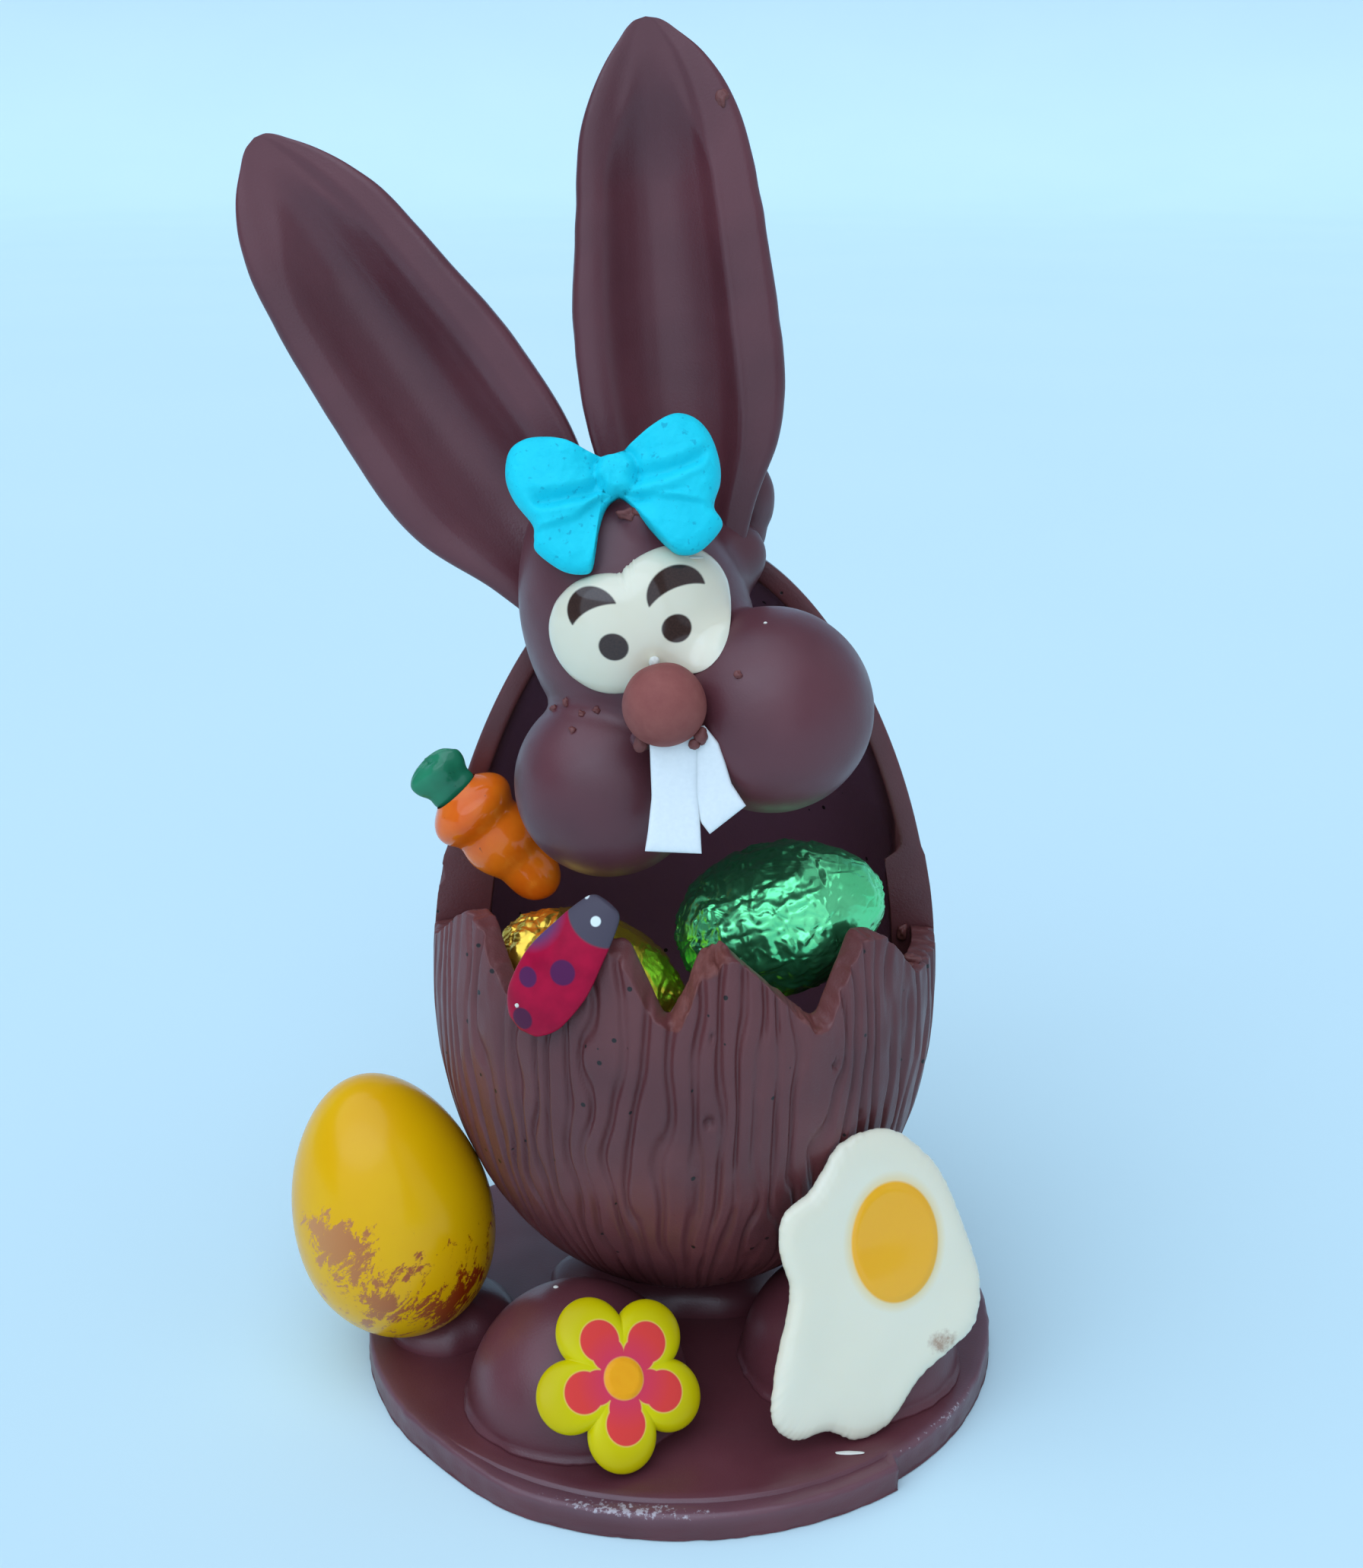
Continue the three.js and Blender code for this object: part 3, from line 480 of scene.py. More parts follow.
def shell_front():
    """Front half: heights follow the jagged rim's corners, slightly worn, at each azimuth.

    Beside the middle notch the break runs down outwards across the wall, so its face shows: rough on
    the right, melted smooth on the left; elsewhere the rim is rounded."""
    columns, rows, step, across_rows = 433, 140, 4, 15
    azimuth = np.linspace(-90, 90, columns)
    height = np.interp(azimuth, RIM_AZIMUTH, RIM_HEIGHT)
    blur = np.hanning(13) / np.hanning(13).sum()
    worn = np.convolve(np.pad(height, 6, mode="edge"), blur, mode="valid")
    line = np.column_stack([azimuth, 0 * azimuth, 0 * azimuth])
    bevel = 0.5 + 3.6 * smoothstep(-5, -1, azimuth) * (1 - smoothstep(6, 12, azimuth))
    bevel = bevel + 1.6 * np.exp(-((azimuth - 27) / 7) ** 2) + 1.2 * np.exp(-((azimuth - 46) / 5) ** 2)
    broken = 0.35 + smoothstep(1.2, 3, bevel)
    bevel = bevel + 3.0 * smoothstep(-19, -13, azimuth) * (1 - smoothstep(-8, -4, azimuth))
    worn = worn + broken * (0.45 * uneven(line, 2.2, 34) + 0.3 * uneven(line, 0.9, 35))

    def share(height):
        """The egg profile's t at a height."""
        return np.arccos(-(height - SHELL_MIDDLE) / SHELL_HALF) / np.pi

    def outside(t):
        """The outer skin: the egg, its bark relief and the pits of the bubbles."""
        r, height = shell_wall(t, 0)
        r = r + BARK_DEPTH * np.sin(np.pi * t) ** 0.7 * (bark(azimuth + 0 * t, height) - 0.7)
        for where, up, size in BUBBLES:
            away = np.hypot(np.radians(azimuth - where) * SHELL["radius"], height - up)
            r = r - BUBBLE_DEPTH * np.exp(-(away / size) ** 4)
        return round_shell(r, azimuth, height, -SEAM)

    def inside(t, azimuth):
        """The inner skin: the egg, smaller by the wall's thickness."""
        r, height = shell_wall(t, -SHELL["wall"])
        return round_shell(r, azimuth, height, -SEAM)

    outer_t, inner_t = share(worn - 0.35 - bevel), share(worn - 0.35)
    outer = outside(outer_t * np.linspace(0, 1, rows)[:, None])
    inner = inside(inner_t[::step] * np.linspace(0, 1, rows // step)[:, None], azimuth[::step])
    rim, rise = round_over(outer[-1], inside(inner_t[None, :], azimuth)[0], across_rows)
    arch = np.sin(np.pi * rise) ** 0.5
    crown = (0.4 + 0.12 * bevel) * arch
    rough = broken * (0.7 * uneven(rim, 1.5, 36) + 0.4 * uneven(rim, 0.7, 37)) * arch
    rim[..., 2] += crown + rough
    rim[..., 1] -= 0.5 * rough
    points, faces = thick_shell(outer, inner, rim)
    fresh = np.clip(0.75 * broken, 0, 1) * np.sin(np.pi * rise) ** 0.3
    fresh = np.concatenate([np.zeros(outer[..., 0].size), fresh.ravel(), np.zeros(inner[..., 0].size)])
    build("shell.front", points, faces, barked, "milk_chocolate", "shell_front", fields={"broken": fresh})


def shell_back():
    """Back half: bark below a zigzag step, smooth above; its rim is a thick band below the step.

    The band is thicker on the left. Above the step the rim is rounded off and bulges forwards."""
    columns, rows, step, across_rows = 301, 151, 4, 11
    turn = np.linspace(0, 1, columns)
    t = np.linspace(0, 1, rows)[:, None] + 0 * turn
    azimuth = 90 + 180 * turn + 0 * t
    from_seam = np.minimum(azimuth - 90, 270 - azimuth)

    r, height = shell_wall(t, 0)
    zigzag = 7 * (np.abs((azimuth / 22.5) % 1 * 2 - 1) - 0.5) * smoothstep(0, 14, from_seam)
    below = 1 - smoothstep(-0.5, 0.5, height - BARK_STEP - zigzag)
    r = r + BARK_DEPTH * np.sin(np.pi * t) ** 0.7 * (bark(azimuth, height) - 0.6) * below
    outer = round_shell(r, azimuth, height, SEAM)

    r, height = shell_wall(t, -SHELL["wall"])
    near = 1 - smoothstep(0.35, 1, np.clip(from_seam / BAND_WIDTH, 0, 1))
    below = 1 - smoothstep(BARK_STEP - 1.2, BARK_STEP, height)
    thick = BAND * np.where(azimuth > 180, 1.25, 0.75)
    r = r - thick * below * near * smoothstep(0.5, 0.9, np.sin(np.pi * t))
    inner = round_shell(r, azimuth, height, SEAM)

    above = smoothstep(BARK_STEP - 1, BARK_STEP + 1, outer[..., 2])
    round_off = 0.9 * above * np.maximum(1 - np.minimum(turn, 1 - turn) * (columns - 1) / 3, 0)
    outer[..., 1] += round_off
    inner[..., 1] += round_off
    outer, inner = outer.transpose(1, 0, 2), inner.transpose(1, 0, 2)
    skins = []
    for end in (0, -1):
        strip, way = round_over(outer[end], inner[end], across_rows)
        strip[..., 1] -= 0.9 * above[:, end] * np.sin(np.pi * way) ** 0.5
        skins.append(strip)
    outside = np.concatenate([skins[0][::-1], outer, skins[1]])
    inside = inner[::step, ::step]
    count = outside.shape[0] * outside.shape[1]
    fine = np.arange(count).reshape(outside.shape[:2])
    coarse = count + np.arange(inside.shape[0] * inside.shape[1]).reshape(inside.shape[:2])
    faces = [grid_faces(*fine.shape), grid_faces(*coarse.shape)[:, ::-1] + count]
    faces += [stitch(fine[end], coarse[end]) for end in (0, -1)]
    faces += [stitch(fine[:, end], coarse[:, end]) for end in (0, -1)]
    points = np.concatenate([outside.reshape(-1, 3), inside.reshape(-1, 3)])
    # Painted sheen: the back half's inner wall gets a painted pale purple sky reflection, fading out towards
    # its edges at the seam.
    pale = smoothstep(5.4, 21.6, from_seam.T[::step, ::step])
    painted_sheen = np.concatenate([np.zeros(count), pale.ravel()])
    build("shell.back", points, faces, barked, "milk_chocolate", "shell_back", fields={"painted_sheen": painted_sheen})


shell_front()
shell_back()

# ---- Head and cheeks ---------------------------------------------------------------------------
# An egg and two balls of chocolate, glued and dipped so that their joints run into each other, and
# lumps of melted chocolate that hold the head on the shell and the nose on the face.
HEAD_AT, HEAD_LEAN = np.array([-7.7, -8, 145.5]), 21.0
HEAD_RADIUS, HEAD_LENGTH, HEAD_TAPER = 19.0, 52.0, 0.13
# Centre, half-widths and blend width of each ball: the two cheeks, the neck, the lumps by the nose
# and the one over the forehead.
CHEEKS = [((15, -22, 132.4), (16.9, 16.9, 16.9), 2.5), ((-11.8, -17, 118.2), (15.9, 15.9, 15.9), 2.5)]
LUMPS = [
    ((5, 3, 152.5), (10, 7, 8), 5.0), ((1.2, -33.2, 131.4), (2.4, 2.6, 2.6), 1.2),
    ((-5.6, -32.6, 130.9), (2.2, 2.4, 1.9), 1.2), ((-6.5, -17.5, 163.5), (3.2, 4.5, 4), 2.0),
]


def turned(degrees, axis, points):
    """Turns points by that angle about one of the frame's axes."""
    matrix = np.array(Euler(np.radians(np.eye(3)["XYZ".index(axis)] * degrees).tolist()).to_matrix())
    return np.asarray(points) @ matrix.T


def slope_of(value, points, nudge):
    """The gradient of a field at the points, from its values a nudge to both sides."""
    steps = nudge * np.eye(3)
    return np.stack([(value(points + step) - value(points - step)) / (2 * nudge) for step in steps], axis=-1)


def head_distance(points):
    """Distance to the head egg, nearly: its implicit value over the length of its gradient."""
    def value(p):
        """The implicit value: -1 in the middle, 0 on the egg, more outside it."""
        local = turned(HEAD_LEAN, "Y", p - HEAD_AT)
        s = local[..., 2] / (HEAD_LENGTH / 2)
        width = HEAD_RADIUS * (1 - HEAD_TAPER * np.clip(s, -1.2, 1.2))
        return np.hypot(np.hypot(local[..., 0], local[..., 1]) / width, s) - 1
    return value(points) / np.maximum(np.linalg.norm(slope_of(value, points, 0.01), axis=-1), 1e-6)


def ball_distance(points, centre, radii):
    """Distance to a stretched ball, nearly: its implicit value over the length of its gradient."""
    offset = (points - np.array(centre)) / radii
    length = np.linalg.norm(offset, axis=-1)
    return (length - 1) * length / np.maximum(np.linalg.norm(offset / radii, axis=-1), 1e-6)


def joined(total, points, balls):
    """Smooth union: each ball joins the rest over its own blend width, which leaves a fillet."""
    for centre, radii, blend in balls:
        ball = ball_distance(points, centre, radii)
        mix = np.clip(0.5 + 0.5 * (total - ball) / blend, 0, 1)
        total = total * (1 - mix) + ball * mix - blend * mix * (1 - mix)
    return total


def lattice_ball(centre, radii, rows=24, columns=48):
    """A closed ball of quads, turned and stretched from a circle."""
    t = np.linspace(0, np.pi, rows)[:, None]
    turn = np.linspace(0, 2 * np.pi, columns, endpoint=False)
    unit = np.stack([np.sin(t) * np.cos(turn), np.sin(t) * np.sin(turn), np.cos(t) + 0 * turn], axis=-1)
    return np.asarray(centre) + unit * radii


def run_together(name, grids, voxel, distance):
    """One skin of dipped chocolate round overlapping closed grids.

    It is an even net of quads of that voxel size in mm. Each vertex then moves along the slope of
    the distance field, in six steps, until it lies on the field's zero surface."""
    faces, count = [], 0
    for grid in grids:
        faces.append(grid_faces(*grid.shape[:2], closed=True) + count)
        count += grid.shape[0] * grid.shape[1]
    made = mesh_object(name, np.concatenate([grid.reshape(-1, 3) for grid in grids]), faces, dipped)
    modifier = made.modifiers.new("skin", "REMESH")
    modifier.mode = "VOXEL"
    modifier.voxel_size = voxel * MM
    modifier.use_smooth_shade = True
    mesh = bpy.data.meshes.new_from_object(made.evaluated_get(bpy.context.evaluated_depsgraph_get()))
    made.modifiers.clear()
    made.data = mesh
    mesh.materials.clear()
    mesh.materials.append(dipped)
    points = np.empty(len(mesh.vertices) * 3)
    mesh.vertices.foreach_get("co", points)
    points = points.reshape(-1, 3) / MM
    for _ in range(6):
        slope = slope_of(distance, points, 0.02)
        square = np.maximum((slope ** 2).sum(axis=-1), 0.2)
        points = points - np.clip(distance(points) / square, -0.8, 0.8)[:, None] * slope
    mesh.vertices.foreach_set("co", (points * MM).ravel())
    mesh.update()
    return made


dipped = chocolate("milk chocolate, dipped", "582b31", "663339", 0.4, fine=0.2)


def head():
    """The egg's profile turned round its axis, and the balls, with faint waves all over."""
    turn = np.linspace(0, 2 * np.pi, 64, endpoint=False)
    r, z = egg_profile(np.linspace(0, 1, 40)[:, None], HEAD_RADIUS, HEAD_LENGTH, HEAD_TAPER)
    egg = np.stack([r * np.cos(turn), r * np.sin(turn), z + 0 * turn], axis=-1)
    egg = turned(-HEAD_LEAN, "Y", egg) + HEAD_AT
    balls = CHEEKS + LUMPS

    def distance(p):
        """The egg and the balls joined, less the waves."""
        return joined(head_distance(p), p, balls) - 0.10 * uneven(p, 9, 41) - 0.03 * uneven(p, 3, 42)

    grids = [egg] + [lattice_ball(centre, radii) for centre, radii, _ in balls]
    made = run_together("head.skin", grids, 0.85, distance)
    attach(made, "root")
    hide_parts("head", "cheek_right", "cheek_left", "neck_glue")


head()

# ---- Nose --------------------------------------------------------------------------------------
# A ball of chocolate, rolled by hand and dusted: matte, lighter and redder than the face. It is
# glued on the face between the cheeks.
NOSE_AT, NOSE_RADIUS = np.array([-2.3, -36.4, 137.6]), 6.6


def nose():
    """A ball, pushed in and out a little. Its dust is noise at about 4 mm over grit at 0.5 mm."""
    material, tree = new_material("milk chocolate, rolled and dusted")
    place = node(tree, "TexCoord").outputs["Object"]
    dust = node(tree, "TexNoise", {"Vector": place, "Scale": 260.0, "Detail": 5.0, "Roughness": 0.65})
    fade = node(tree, "MapRange", {"Value": dust.outputs["Fac"], "From Min": 0.3, "From Max": 0.7})
    colour = node(tree, "MixRGB", {
        "Fac": fade.outputs["Result"], "Color1": rgb("8a4a45"), "Color2": rgb("98574f"),
    })
    grit = node(tree, "TexNoise", {"Vector": place, "Scale": 1800.0, "Detail": 3.0})
    bump = node(tree, "Bump", {"Height": grit.outputs["Fac"], "Strength": 0.5, "Distance": 0.0001})
    finish_material(
        tree, Base_Color=colour.outputs["Color"], Roughness=0.62, Normal=bump.outputs["Normal"], IOR=1.45,
        Specular_IOR_Level=0.2,
    )
    rows, columns = 60, 96
    ball = lattice_ball(NOSE_AT, [NOSE_RADIUS] * 3, rows, columns)
    ball += 0.12 * uneven(ball, 4, 51)[..., None] * (ball - NOSE_AT) / NOSE_RADIUS
    build("nose.ball", ball, [grid_faces(rows, columns, closed=True)], material, "nose_chocolate", "nose")


nose()

# ---- Ears --------------------------------------------------------------------------------------
# Two long scoops of chocolate from one mould and its mirror image: convex behind, with a rounded
# lip, a flat band inside it and a trough down the middle. They are glued behind the head.
EAR_LENGTH, EAR_BACK, EAR_HOLLOW, EAR_LIP, EAR_LEAN_BACK = 98.0, 9.5, 6.0, 1.8, 6.0
# Half-widths on the side away from the other ear and on the side towards it: how far from the tip,
# and how wide there.
EAR_OUTER = [
    [0, 0.5, 2.4, 6, 12.3, 18, 35, 57, 64, 70, 78, 90, 98],
    [0, 2.2, 4.9, 8.9, 12.9, 14.8, 17.1, 18.4, 17.8, 15.9, 11.8, 7.5, 0],
]
EAR_INNER = [
    [0, 0.5, 3.3, 7, 11.5, 17.3, 31, 48, 60, 68, 78, 90, 98],
    [0, 2.0, 4.8, 7.7, 10.3, 12.7, 14.6, 16.7, 16.4, 15.2, 11.5, 7, 0],
]
# Centre and half-widths of the two lumps of glue behind the right ear's foot, and their blend width.
EAR_LUMPS = [((11.9, 8.5, 161.4), (4.7, 4.4, 7.4)), ((11.7, 8.0, 154.9), (3.5, 3.8, 3.2))]
EAR_LUMPS_BLEND = 1.5


def curve_through(knots, values, at):
    """Smooth curve through the knots that never swings past them: its slope at a knot is the mean
    of both neighbours' rates, and 0 where these point opposite ways."""
    knots, values = np.asarray(knots, float), np.asarray(values, float)
    rate = np.diff(values) / np.diff(knots)
    both = rate[1:] * rate[:-1]
    mean = np.where(both > 0, 2 * both / np.where(both > 0, rate[1:] + rate[:-1], 1), 0)
    slope = np.concatenate([[rate[0]], mean, [rate[-1]]])
    k = np.clip(np.searchsorted(knots, at, side="right") - 1, 0, len(knots) - 2)
    width = knots[k + 1] - knots[k]
    t = np.clip((at - knots[k]) / width, 0, 1)
    blend = t * t * (3 - 2 * t)
    bend = width * t * (1 - t) * (slope[k] * (1 - t) - slope[k + 1] * t)
    return values[k] * (1 - blend) + values[k + 1] * blend + bend


def soft_width(knots, along):
    """Half-width at each place along the ear; the curve is averaged over 9 mm, less near its ends."""
    shifts = np.linspace(-1, 1, 9)
    reach = 4.5 * smoothstep(0, 14, along) * (1 - smoothstep(84, 98, along))
    weights = np.cos(shifts * np.pi / 2.4)
    total = sum(w * curve_through(*knots, along + shift * reach) for w, shift in zip(weights, shifts))
    return np.maximum(total / weights.sum(), 0)


def ear(name, tip, lean, side, stretch, steep, seed):
    """Rows run from the tip to the foot, columns round the section: x is the half-width times a
    cosine, the back is a sine arch. In front a narrow band lies along the left edge and a wide one
    along the right. Between them lies the trough: steep tells how sharply it falls at the right."""
    rows, columns = 130, 180
    t = (1 - np.cos(np.pi * np.linspace(0, 1, rows)))[:, None] / 2
    angle = np.linspace(0, 2 * np.pi, columns, endpoint=False)
    cosine = np.sign(np.cos(angle)) * np.abs(np.cos(angle)) ** 0.85
    along = t * EAR_LENGTH
    half = np.where(side * cosine > 0, soft_width(EAR_OUTER, along), soft_width(EAR_INNER, along))
    depth = np.sqrt(np.sin(np.pi * t))
    inward = 1 - np.abs(cosine)
    lip = EAR_LIP * np.sqrt(np.clip(1 - (1 - np.minimum(inward / 0.12, 1)) ** 2, 0, 1))
    fall_left = 1 - smoothstep(0.14, 0.56, inward)
    fall_right = 1 - smoothstep(0.56 - 0.3 / (1 + steep), 0.6, inward)
    lip = lip * np.where(cosine < 0, fall_left, fall_right)
    open_out = smoothstep(5, 26, along)
    left = -1 + 0.30 + 0.35 * (1 - open_out)
    right = 1 - 0.46 - 0.25 * (1 - open_out) + 0.06 * smoothstep(50, 75, along)
    across = (cosine - (left + right) / 2) / ((right - left) / 2)
    scoop = np.clip(1 - np.abs(across) ** 2.2, 0, 1) ** np.where(across < 0, 2.0, 1.9 - 0.7 * steep)
    fullness = smoothstep(0, 17, half) ** 0.7
    trough = EAR_HOLLOW * scoop * open_out ** 0.7
    edge = 0.2 * steep * np.exp(-((across - 1.04) / 0.05) ** 2)
    edge = edge * smoothstep(14, 24, along) * (1 - smoothstep(70, 80, along))
    front = (trough - lip - edge) * depth * fullness
    y = np.where(np.sin(angle) >= 0, EAR_BACK * depth * np.abs(np.sin(angle)) ** 0.9, front)
    points = np.stack([half * cosine, y, -t * stretch * EAR_LENGTH + 0 * cosine], axis=-1)
    streak = uneven(points * [1, 1, 0.12], 3.0, seed)
    points[..., 1] += depth * (0.05 * streak + 0.22 * uneven(points, 12, seed + 1))
    points[..., 0] *= 0.985 + 0.005 * uneven(points * [0, 0, 1], 3.5, seed + 2)
    points = turned(-EAR_LEAN_BACK, "X", points)
    points = turned(-lean, "Y", points) + tip
    build(name + ".scoop", points, [grid_faces(rows, columns, closed=True)], moulded, "milk_chocolate", name)


def ear_glue():
    """Two balls that run together, their surface pushed in and out a little."""
    first, second = EAR_LUMPS

    def distance(p):
        """Both balls joined, less the waves."""
        return joined(ball_distance(p, *first), p, [(*second, EAR_LUMPS_BLEND)]) - 0.25 * uneven(p, 3, 71)

    made = run_together("ear_glue.lumps", [lattice_ball(*lump) for lump in EAR_LUMPS], 0.5, distance)
    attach(made, "root")
    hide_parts("ear_glue")


ear("ear_right", (-5.3, 8, 239.4), 5, side=1, stretch=1.0, steep=1.0, seed=61)
ear("ear_left", (-69.3, 8, 220.9), 35, side=-1, stretch=1.04, steep=0.2, seed=65)
ear_glue()

# ---- Eyes --------------------------------------------------------------------------------------
# One plaque of white chocolate with two joined lobes, poured thin and printed with pupils and
# brows, bent round the front of the head while soft. Its edge is rounded, with a ragged flash.
EYES_AT, EYES_LEAN, EYES_THICKNESS = np.array([-6.3, -29, 147.9]), 21.0, 2.6
EYES_LOBE, EYES_SPREAD = 9.7, 5.05
# On the flat outline: each pupil's centre and half-widths, and the two ovals of each brow, of which
# the second is cut out of the first.
PUPILS = [((-4.5, -1.4), (2.1, 2.2)), ((4.7, -2.0), (2.1, 2.2))]
BROWS = [
    (((-5.4, 4.6), (3.7, 3.9)), ((-4.2, -1.9), (7.08, 7.08))),
    (((6.5, 2.8), (4.17, 4.17)), ((6.2, -2.9), (6.66, 6.66))),
]
BEHIND_PRINT = 30.0  # a plaque's back is this far off the plane of its print, so it stays bare


def reach_of(inside, angle, longest):
    """How far a flat outline reaches from its centre in each direction, found by walking out."""
    radius = np.linspace(0, longest, 1200)[:, None]
    filled = inside(radius * np.cos(angle), radius * np.sin(angle))
    return (filled * radius).max(axis=0)


def moulding_rings(reach, angle, rings):
    """Points of a flat outline on rings from its centre to its edge, closer together at the edge."""
    s = np.sin(np.linspace(0, np.pi / 2, rings))[:, None]
    return s, s * reach * np.cos(angle), s * reach * np.sin(angle)


def print_places(a, b, back_rings):
    """Where each point of a plaque lies on its print: the rings of its front, then those of its back."""
    front = np.stack([a, b, 0 * a], axis=-1)
    return np.concatenate([front, front[back_rings] - [0, 0, BEHIND_PRINT]]).reshape(-1, 3)


def printed_oval(tree, mark, centre, radii, soft=0.12):
    """1 inside an oval on the print and 0 outside it, with an edge that is soft over so many mm."""
    moved = node(tree, "VectorMath", {0: mark, 1: (*centre, 0)}, operation="SUBTRACT").outputs["Vector"]
    shrink = (1 / radii[0], 1 / radii[1], 1 / radii[0])
    scaled = node(tree, "VectorMath", {0: moved, 1: shrink}, operation="MULTIPLY").outputs["Vector"]
    length = node(tree, "VectorMath", {0: scaled}, operation="LENGTH").outputs["Value"]
    return node(tree, "MapRange", {
        "Value": length, "From Min": 1 + soft / radii[0], "From Max": 1 - soft / radii[0],
    }).outputs["Result"]


def poured_white():
    """White chocolate: glossy where it set in the air, faintly clouded at 8 mm, and a bit of light
    goes through it. Pupils and brows are cocoa ink with a grain of a third of a millimetre."""
    material, tree = new_material("white chocolate, poured and printed")
    mark = node(tree, "Attribute", attribute_name="print").outputs["Vector"]
    place = node(tree, "TexCoord").outputs["Object"]
    marks = [printed_oval(tree, mark, *pupil) for pupil in PUPILS]
    for outer, inner in BROWS:
        crescent = node(tree, "Math", {
            0: printed_oval(tree, mark, *outer), 1: printed_oval(tree, mark, *inner),
        }, operation="SUBTRACT", use_clamp=True)
        marks.append(crescent.outputs["Value"])
    ink = marks[0]
    for more in marks[1:]:
        ink = node(tree, "Math", {0: ink, 1: more}, operation="MAXIMUM").outputs["Value"]
    milky = node(tree, "TexNoise", {"Vector": place, "Scale": 120.0, "Detail": 2.0})
    cream = node(tree, "MixRGB", {
        "Fac": milky.outputs["Fac"], "Color1": rgb("e6dabd"), "Color2": rgb("eee4cc"),
    })
    grain = node(tree, "TexNoise", {"Vector": place, "Scale": 3000.0, "Detail": 1.0})
    brown = node(tree, "MixRGB", {
        "Fac": grain.outputs["Fac"], "Color1": rgb("2c1812"), "Color2": rgb("462c22"),
    })
    colour = node(tree, "MixRGB", {
        "Fac": ink, "Color1": cream.outputs["Color"], "Color2": brown.outputs["Color"],
    })
    finish_material(
        tree, Base_Color=colour.outputs["Color"], Roughness=0.12, IOR=1.46, Subsurface_Weight=0.25,
        Subsurface_Radius=(1.0, 0.8, 0.6), Subsurface_Scale=0.001, Coat_Weight=0.3, Coat_Roughness=0.06,
    )
    return material


def eyes():
    """Rings over the outline of two discs. Each point starts in front of the face and walks back
    onto it; the plaque's thickness stands out from there, away from the head's axis, and thins to
    nothing at the edge. A dent runs down between the lobes. A few rings close the back."""
    angle = np.linspace(0, 2 * np.pi, 320, endpoint=False)

    def inside(a, b):
        """True where a place lies in either disc."""
        return (np.hypot(a - EYES_SPREAD, b) < EYES_LOBE) | (np.hypot(a + EYES_SPREAD, b) < EYES_LOBE)

    circle = np.stack([np.cos(angle), np.sin(angle), 0 * angle], axis=-1)
    flash = uneven(circle, 0.03, 82).clip(0) * (np.abs(np.cos(angle) - 0.12) < 0.2)
    reach = reach_of(inside, angle, 16) + 0.05 * uneven(circle, 0.15, 81) + 0.4 * flash
    s, a, b = moulding_rings(reach, angle, 54)
    start = turned(-EYES_LEAN, "Y", np.stack([a, 0 * a, b], axis=-1)) + EYES_AT
    start[..., 1] = -46
    soft_cheeks = [(centre, radii, 6.0) for centre, radii, _ in CHEEKS]
    for _ in range(40):
        start[..., 1] += 0.9 * joined(head_distance(start), start, soft_cheeks)
    edge = (1 - s ** 7) ** 0.5
    dent = 0.35 * np.exp(-(a / 2.2) ** 2) * smoothstep(-4, 8, b)
    thickness = EYES_THICKNESS * edge * (0.82 + 0.18 * (1 - s ** 2)) - dent * edge
    outward = (start - HEAD_AT) * [1, 1, 0]
    outward = outward / np.linalg.norm(outward, axis=-1, keepdims=True)
    back_rings = [53, 51, 45, 35, 18, 0]
    grid = np.concatenate([start + thickness[..., None] * outward, (start - 0.8 * outward)[back_rings]])
    build(
        "eyes.plaque", grid, [grid_faces(*grid.shape[:2], closed=True)], poured_white(), "white_chocolate",
        "eyes", fields={"print": print_places(a, b, back_rings)},
    )


eyes()

# ---- Teeth -------------------------------------------------------------------------------------
# Two buck teeth cut from one rolled sheet of white sugar paste, matt, slit up to the middle.
# Their cut edges are slightly rounded; they hang under the nose.
TEETH_AT, TEETH_THICKNESS, TEETH_TILT, TEETH_BEND = (0, -36.6, 132.2), 1.5, 4.0, 0.00192
# Each tooth's left and right edge from the gum down, X and Z, and how far back it stands.
TEETH_EDGES = [
    (
        [(-4.6, -0.6), (-4.3, -9.5), (-4.9, -15), (-5.4, -18.3)],
        [(3.0, 2.0), (3.0, -9), (3.35, -14), (3.6, -18.7)], 0.0,
    ),
    (
        [(0.5, 1.5), (1.2, -7.0), (2.9, -10.5), (3.4, -13.6), (4.9, -15.6)],
        [(4.0, 2.0), (6.2, -0.8), (7.3, -4.0), (8.3, -7.4), (10.6, -11.0)], 0.3,
    ),
]


def pillow(left, right, thickness):
    """The front and the back of a strip between two edge lines. Both faces stand off its middle by
    half the thickness and round off to meet all round its edge."""
    u = (1 - np.cos(np.pi * np.linspace(0, 1, 36))) / 2
    v = (1 - np.cos(np.pi * np.linspace(0, 1, 40))) / 2
    sides = []
    for edge in (left, right):
        edge = np.asarray(edge, float)
        run = np.concatenate([[0], np.cumsum(np.hypot(*np.diff(edge, axis=0).T))])
        sides.append(np.stack([np.interp(v * run[-1], run, edge[:, k]) for k in (0, 1)], axis=-1))
    flat = sides[0][:, None] * (1 - u[None, :, None]) + sides[1][:, None] * u[None, :, None]
    rounding = (1 - np.abs(2 * u - 1) ** 12)[None] * (1 - np.abs(2 * v - 1) ** 12)[:, None]
    rise = thickness / 2 * rounding ** 0.5
    front = np.stack([flat[..., 0], -rise, flat[..., 1]], axis=-1)
    back = np.stack([flat[..., 0], rise, flat[..., 1]], axis=-1)
    return front, back


